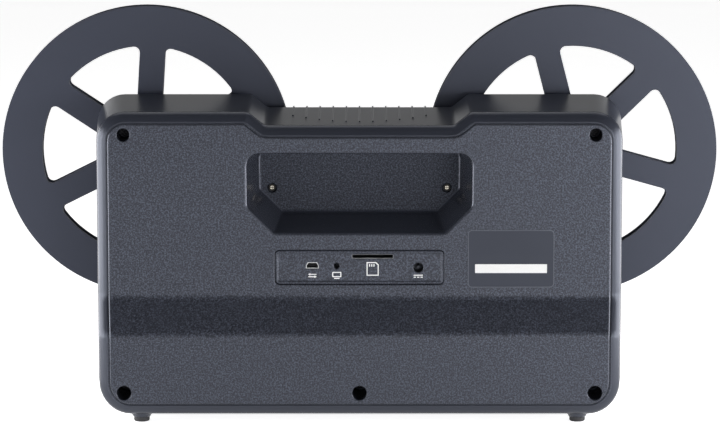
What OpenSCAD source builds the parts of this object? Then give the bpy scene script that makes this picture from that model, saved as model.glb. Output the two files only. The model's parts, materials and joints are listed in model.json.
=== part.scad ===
// Scanner for 8 mm and Super 8 cine film: a two-part moulded housing, two reels on spindles,
// a film gate with a hinged lamp door, guide rollers, a display with keys, and a rear port plate.
// Millimetres. +Z is up. The film side faces -Y and the ports face +Y. Zero height is the table.

/* [Housing] */
// Width of the rear cover
body_w = 312; // [306:1:330]
// Height of the housing at its shoulders, without the feet
body_h = 179.7; // [176:0.1:190]
// Depth of the front shell from the seam to its front face
shell_d = 68; // [66:1:80]
// Growth of each side of the front shell towards the front
side_flare = 3.8; // [0:0.1:6]
// Rise of the top of the front shell towards the front
top_rise = 3; // [0:0.1:5]
// Wall of both shells
wall = 2.5; // [2:0.1:3]
// Radius of the upper corners
top_r = 17; // [14:0.5:22]
// Radius of the lower corners
bottom_r = 20; // [16:0.5:24]
// Radius of the bead round the rear cover
bead_r = 6; // [5.5:0.1:7]
// Radius of the front edge of the front shell
front_r = 4; // [3:0.1:5]
// How far the base stands out behind the upper rear face
base_step = 12; // [8:0.5:16]
// Draft of the base on each side
base_draft = 1.1; // [0:0.1:1.5]
// Distance from the port plate down to the step
step_gap = 4.8; // [3:0.1:10]
// Height of the slope between base and upper rear face
step_h = 26; // [20:0.5:28]
// Reveal line between the two shells
seam_gap = 0.4; // [0.2:0.05:0.6]

/* [Handle] */
// Depth of the dip in the top edge
dip_depth = 8; // [5:0.1:10]
// Half width of the dip at its floor
dip_half = 56; // [48:0.5:60]
// Width of each sloping end of the dip
dip_slope = 10; // [8:0.5:14]
// Width of the finger recess
recess_w = 133.6; // [126:0.2:138]
// Height of the finger recess
recess_h = 47.4; // [42:0.2:50]
// Distance from the shoulders down to the finger recess
recess_drop = 24.4; // [20:0.2:28]
// Depth of the finger recess
recess_d = 35; // [28:0.5:36]
// Draft of the recess at each side, and at its sill
recess_draft = 6; // [4:0.1:7]
// Number of grip ribs in the dip
rib_count = 11; // [3:2:13]
// Distance between grip ribs
rib_pitch = 8; // [6:0.1:9]
// Height of a grip rib
rib_h = 0.6; // [0.4:0.1:1]

/* [Screws and feet] */
// Distance from the side of the rear cover to the outer screw wells
well_side = 16.2; // [15:0.1:20]
// Height of the lower screw wells above the housing's underside
well_low = 13.6; // [12:0.1:16]
// Distance from the shoulders down to the upper screw wells
well_drop = 13.1; // [12:0.1:14]
// Diameter of the upper screw wells
well_top_d = 7.6; // [6.5:0.1:8.2]
// Diameter of the lower screw wells
well_low_d = 8.5; // [7:0.1:9]
// Diameter of the housing screws
screw_d = 2.9; // [2.5:0.1:3]
// Depth of the screw wells beyond the seam
well_sink = 12; // [5:0.5:20]
// Distance from the side of the finger recess to the screw in it
recess_screw_side = 14.2; // [12:0.1:18]
// Height of a foot with its boss
foot_h = 5.2; // [4.5:0.1:8]
// Diameter of a foot pad
foot_d = 9.4; // [8:0.1:12]
// Distance from the side of the rear cover to the feet
foot_side = 26; // [24:0.1:40]

/* [Ports] */
// Width of the port plate
port_w = 101; // [98:0.2:106]
// Height of the port plate
port_h = 21; // [20:0.2:23]
// Distance from the finger recess down to the port plate
port_gap = 10.1; // [8:0.1:11]
// Thickness of the circuit boards
board_t = 1.6; // [1:0.1:2]
// Bore of the audio and video jack
av_d = 3.6; // [2.5:0.1:4]
// Bore of the power jack
power_d = 6; // [5:0.1:6.4]

/* [Reels] */
// Diameter of a reel
reel_d = 177.8; // [160:0.2:190]
// Distance from the side of the rear cover to the spindles
spindle_side = 25.5; // [23:0.1:30]
// Distance from the shoulders down to the spindles
spindle_drop = 33.8; // [30:0.1:34]
// Distance from the housing's front face to the reels
reel_gap = 11.5; // [11:0.1:14]
// Thickness of a reel
reel_t = 12; // [11.6:0.1:13]
// Thickness of a reel flange
flange_t = 1.5; // [1:0.1:1.7]
// Width of the rim of a flange
rim_w = 24.4; // [18:0.2:28]
// Width of a spoke
spoke_w = 15.4; // [10:0.2:18]
// Corner radius of a flange opening
slot_r = 3.5; // [2:0.1:4]
// Diameter of the film core
core_d = 51; // [46:0.5:62]
// Bore of a reel
reel_bore = 12.7; // [12.5:0.1:14]
// Turn of the supply reel's spokes, in degrees
supply_turn = 15.5; // [0:0.5:60]
// Turn of the take-up reel's spokes, in degrees
takeup_turn = 33.5; // [0:0.5:60]
// Length of the spindle tip in front of the reel
tip_l = 8; // [6:0.5:12]
// Diameter of the spindle shafts
shaft_d = 8; // [6:0.1:9]

/* [Drive] */
// Tooth module
gear_m = 0.8; // [0.7:0.01:0.84]
// Teeth of the take-up gear
gear_teeth = 36; // [32:2:38]
// Teeth of the motor pinion
pinion_teeth = 15; // [15:2:17]
// Face width of the take-up gear
gear_w = 6; // [4:0.1:6.5]
// Diameter of the take-up motor
motor_d = 24; // [20:0.5:25]
// Length of the take-up motor
motor_l = 29; // [22:0.5:31]
// Diameter of the motor shaft
motor_shaft_d = 2; // [1.5:0.1:2.5]

/* [Film path] */
// Height of the film path above the housing's underside
film_h = 43.2; // [42:0.1:46]
// Distance from the middle to the inner guide rollers
inner_roller_x = 62; // [58:0.5:70]
// Distance from the middle to the outer guide rollers
outer_roller_x = 105; // [95:0.5:112]
// Drop of the outer rollers below the film path
outer_roller_drop = 8; // [0:0.5:14]
// Diameter of the rollers where the film runs
roller_d = 10; // [8:0.1:11]
// Width of the film channel
film_w = 8.4; // [8.1:0.1:8.6]
// Diameter of the roller pins
pin_d = 4; // [3:0.1:5]
// Width of the film gate
gate_w = 76; // [74:0.5:84]
// Depth of the film gate in front of the housing
gate_d = 29.5; // [29:0.1:31]
// Height of the gate door above the film
door_h = 14.8; // [14:0.1:16]
// Diameter of the hinge pin
hinge_d = 3; // [2:0.1:3.4]
// Diameter of the lens barrel
lens_d = 12; // [10:0.1:13]
// Stroke of the film claw
claw_stroke = 4.2; // [3.6:0.1:4.6]
// Stroke of the film selector
selector_stroke = 8; // [6:0.5:10]

/* [Display and keys] */
// Width of the display window
window_w = 70; // [66:0.5:74]
// Height of the display window
window_h = 54; // [52:0.5:55]
// Distance from the shoulders down to the window
window_drop = 24.7; // [22:0.1:26]
// Diameter of the keys
key_d = 9.8; // [8:0.1:10.4]
// Distance between keys
key_pitch = 16; // [14:0.5:17]
// Distance from the window down to the middle of the keys
key_drop = 10; // [9:0.1:14]
// Travel of a key
key_travel = 0.8; // [0.5:0.05:1]

/* [Fits] */
// Radial clearance of a turning fit
run_fit = 0.05; // [0.02:0.01:0.08]
// Gap between a fixed piece and the opening it sits in
seat_fit = 0.1; // [0.05:0.01:0.15]
// Gap between pieces that pass each other
pass_gap = 0.3; // [0.25:0.01:0.35]

/* [Hidden] */
$fn = 72;
// How far a cutter runs past a face, and an added form into its wall
over = 1;
bottom_z = foot_h;
top_z = bottom_z + body_h;
half_w = body_w / 2;
seam_land = 0.5;

// Stations along the depth, with the middle of the whole object at zero
overall_d = base_step + bead_r + seam_land + shell_d + reel_gap + reel_t + tip_l;
base_y = overall_d / 2;
rear_y = base_y - base_step;
seam_y = rear_y - bead_r - seam_land;
front_y = seam_y - shell_d;
inner_y = front_y + wall;
reel_back_y = front_y - reel_gap;
reel_front_y = reel_back_y - reel_t;
film_y = reel_back_y - reel_t / 2;
tip_y = reel_front_y - tip_l;

// Outline of the housing
dip_r = 5;
least_r = 0.4;
rib_w = 0.9;
rib_long = 55;
rib_short = 33;
rib_start = 2.4;
corner_steps = 10;
dip_steps = 4;
step_ease = 0.2;
step_marks = [1, 1 - step_ease / 2, 1 - step_ease, step_ease, step_ease / 2, 0];
cavity_cove = 2;
tongue_l = bead_r + seam_land - wall - cavity_cove - 2 * seat_fit;
tongue_in = wall + seat_fit;
tongue_t = 1.4;
lip_run = 6;
lip_ramp = 2;
inner_ease = 3;
ease_start = 0.1;
groove_w = 0.7;
groove_d = 1.2;
panel_r = 0.9;
bead_sink = 0.7;
// Angles at which the roundings have their rings
panel_angles = [20, 43, 66, 90];
bead_angles = [55, 46, 37, 28, 19, 10, 0];
front_angles = [0, 16, 32, 48, 64, 80];

// Screws, wells and posts
well_x = half_w - well_side;
well_low_z = bottom_z + well_low;
well_top_z = top_z - well_drop;
well_floor_y = seam_y - well_sink;
well_floor_t = 2.5;
joint_y = well_floor_y - well_floor_t;
well_wall = 1.6;
boss_d = 8;
shank_clear = 0.5;
screw_fit = 0.1;
screw_head_d = 5.6;
screw_head_h = 2;
screw_grip = 9;
// Length and width of a cross recess, as shares of the head
cross_l = 0.6;
cross_w = 0.16;
small_screw_d = 1.9;
small_head_d = 3.6;
small_head_h = 1.3;
small_grip = 3;
tap_drill = 0.5;
screw_drill = 1;
well_edge = 0.4;
post_d = 6;

// Finger recess
recess_top = top_z - recess_drop;
recess_floor_y = rear_y - recess_d;
recess_corner = 7;
recess_bend = 5;
recess_nose = 2;
recess_radii = [recess_bend, recess_corner, recess_corner, recess_bend, recess_nose, recess_nose];
recess_steps = 4;
recess_chamfer = 16;
recess_sill_draft = 1.25;
recess_lip = 1.6;
recess_fillet = 2;
lip_angles = [15, 40, 65, 90];
fillet_angles = [0, 24, 47, 70];
recess_screw_x = recess_w / 2 - recess_screw_side;
recess_screw_drop = 25.3;
recess_screw_z = recess_top - recess_screw_drop;
recess_well_d = 5.7;
recess_well_depth = 3.5;
recess_boss_t = 3;
recess_post_y = recess_floor_y - wall - recess_boss_t;
recess_head_d = 4;

// Feet
foot_x = half_w - foot_side;
foot_boss_d = foot_d + 1;
foot_boss_flare = 3;
foot_boss_h = 2.4;
foot_root = 2;
foot_edge = 0.5;
foot_rear_in = 11.5;
foot_front_in = 13.5;
foot_rear_y = base_y - foot_rear_in;
foot_front_y = front_y + foot_front_in;

// Ports and main board
port_z = recess_top - recess_h - port_gap - port_h / 2;
step_bottom = port_z - port_h / 2 - step_gap - step_h;
port_r = 3;
port_seat_d = 1.5;
port_ledge = 2.4;
port_hole_r = 1;
port_sink = 0.2;
port_bevel = 0.5;
port_frame = 1.5;
port_field_d = 0.5;
port_back_y = rear_y - port_seat_d;
socket_y = port_back_y - seat_fit;
main_rise = 5;
main_top = port_z + main_rise;
main_bottom = main_top - board_t;
main_w = 124;
main_d = 40;
main_back_gap = 1;
main_back_y = rear_y - wall - main_back_gap;
usb_x = 28;
usb_rise = 1;
usb_z = port_z + usb_rise;
usb_w = 7.7;
usb_h = 3.9;
usb_taper = 1;
usb_shell = 0.5;
usb_l = 9;
usb_depth = 6;
usb_tongue_in = 1;
usb_tongue_t = 1;
av_x = 13.5;
av_rise = 0.8;
av_z = port_z + av_rise;
av_body_w = 8;
av_l = 12;
av_depth = 11;
card_x = -7.8;
card_w = 24.4;
card_h = 2.4;
card_rise = 1.4;
card_z = main_top + card_rise;
card_wall = 1.3;
card_l = 28;
card_depth = 24;
power_x = -34.9;
power_drop = 0.2;
power_z = port_z - power_drop;
power_pin_d = 1.7;
power_pin_in = 1;
power_body_w = 9;
power_l = 13;
power_depth = 10;
shelf_w = 6;
shelf_d = 30;
shelf_h = 5;

// Reels and spindles
spindle_x = half_w - spindle_side;
spindle_z = top_z - spindle_drop;
reel_r = reel_d / 2;
slot_margin = 3;
slot_out = reel_r - rim_w;
slot_in = core_d / 2 + slot_margin;
spoke_count = 6;
slot_steps = 4;
// Angle between a rounded corner and the next point of the rim
slot_ease = 4;
core_wall = 2;
hub_wall = 4;
hub_r = reel_bore / 2 + hub_wall;
lug_count = 3;
lug_w = 2;
lug_h = 1;
tip_land = 0.5;
tip_taper = 0.6;
tip_shoulder = 3.2;
tip_round = 2;
tip_edge = 0.9;
seat_disc_d = 26;
seat_disc_t = 3;
collar_w = 4;
collar_d = shaft_d + 2 * collar_w;
bush_wall = 2;
bush_d = shaft_d + 2 * bush_wall;
bush_flange_d = collar_d;
bush_flange_t = 1;
bush_l = 17;
bush_back_y = front_y + bush_l;
bush_boss_wall = 3;
bush_boss_d = bush_d + 2 * bush_boss_wall;
washer_t = 1;
clip_t = 1;
clip_groove = 1;
clip_w = 2.5;
clip_mouth = 0.9;

// Take-up drive
gear_back_y = bush_back_y + pass_gap + gear_w;
clip_gap = 0.1;
gear_backlash = 0.25;
gear_addendum = 0.85;
gear_root = 1.2;
root_step = 0.01;
flank_steps = 3;
pressure_angle = 20;
gear_r = gear_m * gear_teeth / 2;
pinion_r = gear_m * pinion_teeth / 2;
centre_gap = 0.1;
motor_x = spindle_x - gear_r - pinion_r - centre_gap;
bracket_t = 1.5;
bracket_gap = 1.5;
bracket_y = gear_back_y + 2 * clip_gap + clip_t + clip_groove + bracket_gap;
bracket_post_z = 17;
bracket_w = 13;
bracket_end = 5;
bracket_r = 4;
shaft_end = 0.5;
motor_nose_d = 7;
motor_nose_l = bracket_t;
motor_shaft_in = 8;

// Film path
film_z = bottom_z + film_h;
plate_t = 1.2;
rail_h = 1;
rail_w = 1;
gate_top = film_z - plate_t;
gate_rise = 8;
gate_bottom = bottom_z + gate_rise;
gate_front_y = front_y - gate_d;
gate_wall = 2.5;
gate_r = 5;
gate_half = gate_w / 2;
ear_t = 4;
ear_r = 3.5;
hinge_r = 3.2;
hinge_y = front_y - hinge_r - pass_gap;
hinge_drop = 2;
door_gap = 0.4;
door_top = film_z + door_h;
hinge_z = door_top - hinge_drop;
door_floor = film_z + rail_h + door_gap;
door_half = gate_half - ear_t - pass_gap;
door_wall = 2.5;
door_front_y = gate_front_y;
door_lip = 1.4;
door_lip_h = 2.4;
door_r = 6;
lamp_half_x = 20;
lamp_back = 10;
lamp_back_y = film_y + lamp_back;
pad_shoe = 2;
pad_gap = pass_gap;
pad_flange_t = 1.5;
pad_half = 17;
pad_depth = 16;
pad_end = 2;
pad_rib_t = 2;
pad_rib_x = 15;
pad_top = film_z + pad_gap + pad_shoe + pad_flange_t;
window_x = 8;
window_y = 6;
diffuser_t = 1.5;
light_board_t = 1.2;
light_post_h = 3.2;
light_post_x = 9;
light_post_d = 4;
light_margin = 3;
lamp_w = 5;
lamp_t = 1;
camera_board_t = 1.2;
camera_x0 = -16;
camera_ribs = [-12, 4];
camera_half_y = 9;
camera_rib_w = 3;
board_gap = 1;
camera_rib_h = 5;
camera_floor = gate_bottom + gate_wall + camera_rib_h;
lens_bottom = camera_floor + camera_board_t;
lens_gap = 3.2;
lens_wall = 2;
lens_top = gate_top - gate_wall - lens_gap;
lens_glass_d = lens_d - 2 * lens_wall;
lens_glass_t = 2;
lens_rim = 0.5;
lens_seat = 1;
claw_x = 11;
claw_w = 0.9;
slot_gap = 0.5;
claw_bar_h = 2.2;
claw_bar_l = 12;
claw_bar_w = 4;
claw_off = 3;
claw_y = film_y + claw_off;
claw_tip_h = 0.8;
claw_bar_off = 2;
claw_reach = 0.2;
claw_top = gate_top - gate_wall - pass_gap;
drive_top = claw_top - claw_bar_h - pass_gap;
drive_l = 17;
drive_gap = 2;
drive_x0 = lens_d / 2 + drive_gap;
drive_w = 14;
drive_back_y = film_y + camera_half_y;
claw_rail_h = 1.5;
claw_rail_w = 1.2;
selector_x = -18;
selector_z = (gate_bottom + gate_top) / 2;
selector_neck_w = 4;
selector_neck_h = 3;
selector_knob_w = 8;
selector_knob_h = 7;
selector_knob_t = 1.5;
selector_knob_r = 1.5;
selector_catch_w = 8;
selector_catch_t = 1.2;
gate_screw_x = 30;
gate_screw_z = (gate_bottom + gate_top) / 2;
gate_boss_d = 7;
gate_web = 4;
plate_end = 1;
plate_margin = 2;
wire_hole_w = 20;
wire_hole_h = 10;
roller_flange_t = 1;
roller_flange_h = 2;
roller_flange_d = roller_d + 2 * roller_flange_h;
roller_l = film_w + 2 * roller_flange_t;
roller_back_y = film_y + roller_l / 2;
post_base_d = 9;
post_tail_d = pin_d + 1;
post_head_d = pin_d + 2;
post_head_t = 1.2;
roller_spots = [
    [-outer_roller_x, film_z - outer_roller_drop],
    [-inner_roller_x, film_z - roller_d / 2],
    [inner_roller_x, film_z - roller_d / 2],
    [outer_roller_x, film_z - outer_roller_drop]
];

// Display and keys
window_z = top_z - window_drop - window_h / 2;
window_t = 1.2;
window_r = 3;
window_ledge = 5;
display_w = window_w - window_ledge;
display_h = window_h - window_ledge;
display_t = 4;
front_board_y = inner_y + display_t + 2 * seat_fit;
front_board_half = 40;
key_z = window_z - window_h / 2 - key_drop;
key_gap = 0.2;
key_proud = 1.6;
key_flange_w = 1.1;
key_flange_d = key_d + 2 * key_flange_w;
key_flange_t = 1;
key_rest_gap = 0.2;
key_edge = 0.6;
key_dish = 0.3;
key_dish_r = 0.6;
key_names = ["power", "back", "up", "down", "ok"];
switch_w = 6;
switch_front_y = inner_y + key_rest_gap + key_flange_t + key_travel + seat_fit;
plunger_d = 3;
plunger_h = 0.6;
board_below_keys = 15;
board_above_window = 7;
board_hole_in = 4;
front_board_low = key_z - board_below_keys;
front_board_high = window_z + window_h / 2 + board_above_window;
front_post_x = front_board_half - board_hole_in;
front_posts = [
    [-front_post_x, front_board_low + board_hole_in],
    [front_post_x, front_board_low + board_hole_in],
    [-front_post_x, front_board_high - board_hole_in],
    [front_post_x, front_board_high - board_hole_in]
];
main_screw_in = 12;
main_screw_y = main_back_y - main_screw_in;

// Colours
dark_plastic = [0.30, 0.31, 0.34];
reel_grey = [0.29, 0.30, 0.35];
black = [0.08, 0.08, 0.09];
steel = [0.70, 0.71, 0.72];
brass = [0.72, 0.60, 0.36];
board_green = [0.10, 0.32, 0.20];

// Box between two values on each axis
module span(x, y, z) {
    translate([x[0], y[0], z[0]]) cube([x[1] - x[0], y[1] - y[0], z[1] - z[0]]);
}

// Box with its middle at x, reaching from y0 to y1 and from z0 to z1
module block(x, w, y0, y1, z0, z1) {
    span([x - w / 2, x + w / 2], [y0, y1], [z0, z1]);
}

// Cylinder along the depth, from y0 back to y1
module rod(x, z, y0, y1, d) {
    translate([x, y1, z]) rotate([90, 0, 0]) cylinder(d = d, h = y1 - y0);
}

// Cylinder along the width, from x0 to x1
module cross_rod(x0, x1, y, z, d) {
    translate([x0, y, z]) rotate([0, 90, 0]) cylinder(d = d, h = x1 - x0);
}

// Flat shape in width and height, from y0 back to y1
module slab(y0, y1) {
    translate([0, y1, 0]) rotate([90, 0, 0]) linear_extrude(height = y1 - y0) children();
}

// Rectangle with round corners about a middle point
module round_rect(x, z, w, h, r) {
    translate([x, z]) {
        square([w - 2 * r, h], center = true);
        square([w, h - 2 * r], center = true);
        for (i = [-1, 1], j = [-1, 1]) translate([i * (w / 2 - r), j * (h / 2 - r)]) circle(r = r);
    }
}

// Revolved profile of [radius, y] points about an axis along the depth
module turned(x, z, profile) {
    translate([x, 0, z]) rotate([90, 0, 0]) rotate_extrude() polygon([for (p = profile) [p[0], -p[1]]]);
}

function unit(v) = v / norm(v);
function side_normal(a, b) = let (d = unit(b - a)) [-d[1], d[0]];
function at(list, i) = list[(i + len(list)) % len(list)];
function cross_z(a, b) = a[0] * b[1] - a[1] * b[0];

// Corner number i of an outline moved inwards, rounded by an arc of a set number of steps
function corner_arc(points, i, r, inset, steps) =
    let (
        n0 = side_normal(at(points, i - 1), points[i]),
        n1 = side_normal(points[i], at(points, i + 1)),
        tip = points[i] + inset * (n0 + n1) / (1 + n0 * n1),
        convex = cross_z(n0, n1) > 0,
        rr = convex ? max(r - inset, least_r) : r + inset,
        s = convex ? 1 : -1,
        middle = tip + s * rr * (n0 + n1) / (1 + n0 * n1),
        a0 = atan2(-s * n0[1], -s * n0[0]),
        turn = s * acos(n0 * n1)
    )
    [for (k = [0:steps]) middle + rr * [cos(a0 + turn * k / steps), sin(a0 + turn * k / steps)]];

// Housing corners, from the lower right one round by the dip, at a share t of the flare
function housing_corners(t) =
    let (
        w = half_w + side_flare * t,
        z1 = top_z + top_rise * t,
        zd = z1 - dip_depth,
        x1 = dip_half + dip_slope
    )
    [[w, bottom_z], [w, z1], [x1, z1], [dip_half, zd], [-dip_half, zd], [-x1, z1], [-w, z1], [-w, bottom_z]];

// Closed outline of the housing: right side marks, top, left side marks, bottom
function housing_outline(inset, t) =
    let (c = housing_corners(t), w = c[0][0] - inset)
    concat(
        [for (m = step_marks) [w, step_bottom + step_h * (1 - m)]],
        corner_arc(c, 1, top_r, inset, corner_steps),
        [for (i = [2:5]) each corner_arc(c, i, dip_r, inset, dip_steps)],
        corner_arc(c, 6, top_r, inset, corner_steps),
        [for (k = [len(step_marks) - 1:-1:0]) [-w, step_bottom + step_h * (1 - step_marks[k])]],
        corner_arc(c, 7, bottom_r, inset, corner_steps),
        corner_arc(c, 0, bottom_r, inset, corner_steps)
    );

// Ramp from 0 to 1 with eased ends
function eased(t) =
    let (a = step_ease, k = 2 * a * (1 - a))
    t <= 0 ? 0
    : t >= 1 ? 1
    : t < a ? t * t / k
    : t > 1 - a ? 1 - (1 - t) * (1 - t) / k
    : (t - a / 2) / (1 - a);

// Depth of the rear face at a height
function rear_at(z) = rear_y + base_step * eased((step_bottom + step_h - z) / step_h);

// Ring of the housing at one depth, or at a distance in front of the stepped rear face
function flat_ring(y, inset, t) = [for (p = housing_outline(inset, t)) [p[0], y, p[1]]];
function rear_ring(drop, inset) =
    let (upper = housing_outline(inset, 0), lower = housing_outline(inset + base_draft, 0))
    [for (i = [0:len(upper) - 1])
        let (
            z = upper[i][1],
            share = eased((step_bottom + step_h - z) / step_h),
            x = upper[i][0] * (1 - share) + lower[i][0] * share
        )
        [x, rear_at(z) - drop, z]];

// Bead round the rear cover, which meets the groove with a slope
function bead_drop(a) = bead_sink + (bead_r - bead_sink) * (1 - sin(a) / sin(bead_angles[0]));
function bead_inset(a) = bead_r * (1 - cos(a)) / (1 - cos(bead_angles[0]));

// Widening of the front shell at one depth
function flare_at(y) = max(0, (seam_y - y) / shell_d);

// Solid through a row of rings, which run from back to front
module loft(rings, caps) {
    n = len(rings[0]);
    sides = [for (r = [0:len(rings) - 2], i = [0:n - 1])
        each [[r * n + i, (r + 1) * n + i, r * n + (i + 1) % n],
              [r * n + (i + 1) % n, (r + 1) * n + i, (r + 1) * n + (i + 1) % n]]];
    last = (len(rings) - 1) * n;
    ends = [for (c = caps) each [c, [for (i = [len(c) - 1:-1:0]) last + c[i]]]];
    polyhedron(points = [for (r = rings) each r], faces = concat(sides, ends), convexity = 8);
}

// End faces of a housing ring, cut at the marks of the step
mark_count = len(step_marks);
ring_count = len(housing_outline(0, 0));
left_first = mark_count + 2 * (corner_steps + 1) + 4 * (dip_steps + 1);
function left_mark(k) = left_first + mark_count - 1 - k;
housing_caps = concat(
    [[for (i = [mark_count - 1:left_first]) i]],
    [for (k = [0:mark_count - 2]) [k, k + 1, left_mark(k + 1), left_mark(k)]],
    [concat([0], [for (i = [left_mark(0):ring_count - 1]) i])]
);

// Corners of the finger recess, drawn in by a share of the draft
function recess_corners(d) =
    let (
        w = recess_w / 2 - d,
        z1 = recess_top,
        z0 = recess_top - recess_h + d * recess_sill_draft,
        c = recess_chamfer - d / 3
    )
    [[w, z0 + c], [w, z1], [-w, z1], [-w, z0 + c], [-w + c, z0], [w - c, z0]];
function recess_ring(y, d, inset) =
    let (c = recess_corners(d))
    [for (i = [0:len(c) - 1], p = corner_arc(c, i, recess_radii[i], inset, recess_steps)) [p[0], y, p[1]]];
recess_caps = [[for (i = [0:len(recess_radii) * (recess_steps + 1) - 1]) i]];

function draft_at(y) = recess_draft * (rear_y - y) / recess_d;

// What lies between two depths
module between(y0, y1) {
    intersection() {
        children();
        span([-body_w, body_w], [y0, y1], [-body_h, 2 * body_h]);
    }
}

// Everything in front of the stepped rear face, or of a parallel face drop in front of it, and behind y0
module rear_prism(drop, y0) {
    marks = [for (m = step_marks) step_bottom + step_h * (1 - m)];
    translate([-body_w, 0, 0]) rotate([90, 0, 90]) linear_extrude(height = 2 * body_w) polygon(concat(
        [[y0, -body_h], [base_y - drop, -body_h]],
        [for (z = marks) [rear_at(z) - drop, z]],
        [[rear_y - drop, 2 * body_h], [y0, 2 * body_h]]
    ));
}

// Hollow of the finger recess, with a rounded lip and a fillet round its floor
module recess_pocket() {
    first = recess_lip * (sin(lip_angles[0]) - 1);
    last = recess_fillet * (1 - cos(fillet_angles[len(fillet_angles) - 1]));
    between(recess_floor_y, rear_y + over) loft(concat(
        [recess_ring(rear_y + 2 * over, 0, first)],
        [for (a = lip_angles)
            let (y = rear_y - recess_lip * (1 - cos(a)))
            recess_ring(y, draft_at(y), recess_lip * (sin(a) - 1))],
        [for (a = fillet_angles)
            let (y = recess_floor_y + recess_fillet * (1 - sin(a)))
            recess_ring(y, draft_at(y), recess_fillet * (1 - cos(a)))],
        [recess_ring(recess_floor_y - over, recess_draft, last)]
    ), recess_caps);
}

module recess_shell() {
    start_y = rear_y - recess_lip;
    end_y = recess_floor_y - wall;
    between(end_y, start_y) loft([
        recess_ring(start_y + over, draft_at(start_y + over), -wall),
        recess_ring(end_y - over, draft_at(end_y - over), -wall)
    ], recess_caps);
}

// Screw wells as [x, z, diameter, depth of the rear face there]
wells = [
    [-well_x, well_top_z, well_top_d, rear_y],
    [well_x, well_top_z, well_top_d, rear_y],
    [-well_x, well_low_z, well_low_d, base_y],
    [0, well_low_z, well_low_d, base_y],
    [well_x, well_low_z, well_low_d, base_y]
];

// Boss of a foot, flared into the underside
module foot_boss(x, y) {
    top_d = foot_boss_d + foot_boss_flare;
    translate([x, y, bottom_z - foot_boss_h]) {
        cylinder(d1 = foot_boss_d, d2 = top_d, h = foot_boss_h);
        translate([0, 0, foot_boss_h]) cylinder(d = top_d, h = foot_root);
    }
}

// Screw well with a broken edge, and the hole for the shank in its floor
module screw_well(w) {
    rod(w[0], w[1], well_floor_y, w[3] + over, w[2]);
    rod(w[0], w[1], joint_y - over, w[3], screw_d + shank_clear);
    translate([w[0], w[3] + well_edge, w[1]]) rotate([90, 0, 0])
        cylinder(d1 = w[2] + 4 * well_edge, d2 = w[2], h = 2 * well_edge);
}

module rear_cover() {
    panel_in = bead_r + groove_w;
    face_in = panel_in + panel_r * (1 - sin(panel_angles[0]));
    shelf_x = (main_w - shelf_w) / 2;
    outer = concat(
        [rear_ring(-over, face_in)],
        [for (a = panel_angles) rear_ring(panel_r * (1 - cos(a)), panel_in + panel_r * (1 - sin(a)))],
        [rear_ring(groove_d, panel_in), rear_ring(groove_d, bead_r)],
        [for (a = bead_angles) rear_ring(bead_drop(a), bead_inset(a))],
        [flat_ring(seam_y - over, 0, 0)]
    );
    cavity = [
        rear_ring(wall - over, wall + inner_ease),
        rear_ring(wall + ease_start, wall + inner_ease),
        rear_ring(wall + cavity_cove, wall),
        flat_ring(seam_y + tongue_l + seat_fit, wall, 0),
        flat_ring(seam_y - 2 * over, wall, 0)
    ];
    color(dark_plastic)
    difference() {
        union() {
            difference() {
                intersection() {
                    loft(outer, housing_caps);
                    rear_prism(0, seam_y + seam_gap / 2);
                }
                intersection() {
                    loft(cavity, housing_caps);
                    rear_prism(wall, seam_y - over);
                }
            }
            recess_shell();
            for (w = wells) rod(w[0], w[1], joint_y, w[3] - over, w[2] + 2 * well_wall);
            for (s = [-1, 1]) {
                rod(s * recess_screw_x, recess_screw_z, recess_post_y, recess_floor_y - over,
                    recess_well_d + 2 * well_wall);
                block(s * shelf_x, shelf_w, main_back_y - shelf_d, rear_y - over,
                    main_bottom - shelf_h, main_bottom);
                foot_boss(s * foot_x, foot_rear_y);
            }
        }
        recess_pocket();
        for (w = wells) screw_well(w);
        for (s = [-1, 1]) {
            rod(s * recess_screw_x, recess_screw_z, recess_floor_y - recess_well_depth, recess_floor_y + over,
                recess_well_d);
            rod(s * recess_screw_x, recess_screw_z, recess_post_y - over, recess_floor_y,
                screw_d + shank_clear);
            translate([s * shelf_x, main_screw_y, main_bottom - small_grip - tap_drill])
                cylinder(d = small_screw_d + screw_fit, h = small_grip + tap_drill + over);
        }
        slab(port_back_y, rear_y + over) round_rect(0, port_z, port_w, port_h, port_r);
        slab(rear_y - wall - over, rear_y)
            round_rect(0, port_z, port_w - 2 * port_ledge, port_h - 2 * port_ledge, port_hole_r);
    }
}

// Grip rib on the sloping floor of the dip
module grip_rib(i) {
    share = (2 * i / (rib_count - 1)) - 1;
    x0 = (i - (rib_count - 1) / 2) * rib_pitch - rib_w / 2;
    y0 = front_y + rib_start;
    length = rib_long - (rib_long - rib_short) * share * share;
    translate([x0, y0, top_z - dip_depth + top_rise * flare_at(y0)])
        rotate([-atan(top_rise / shell_d), 0, 0])
        translate([0, 0, -over]) cube([rib_w, length, rib_h + over]);
}

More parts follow.
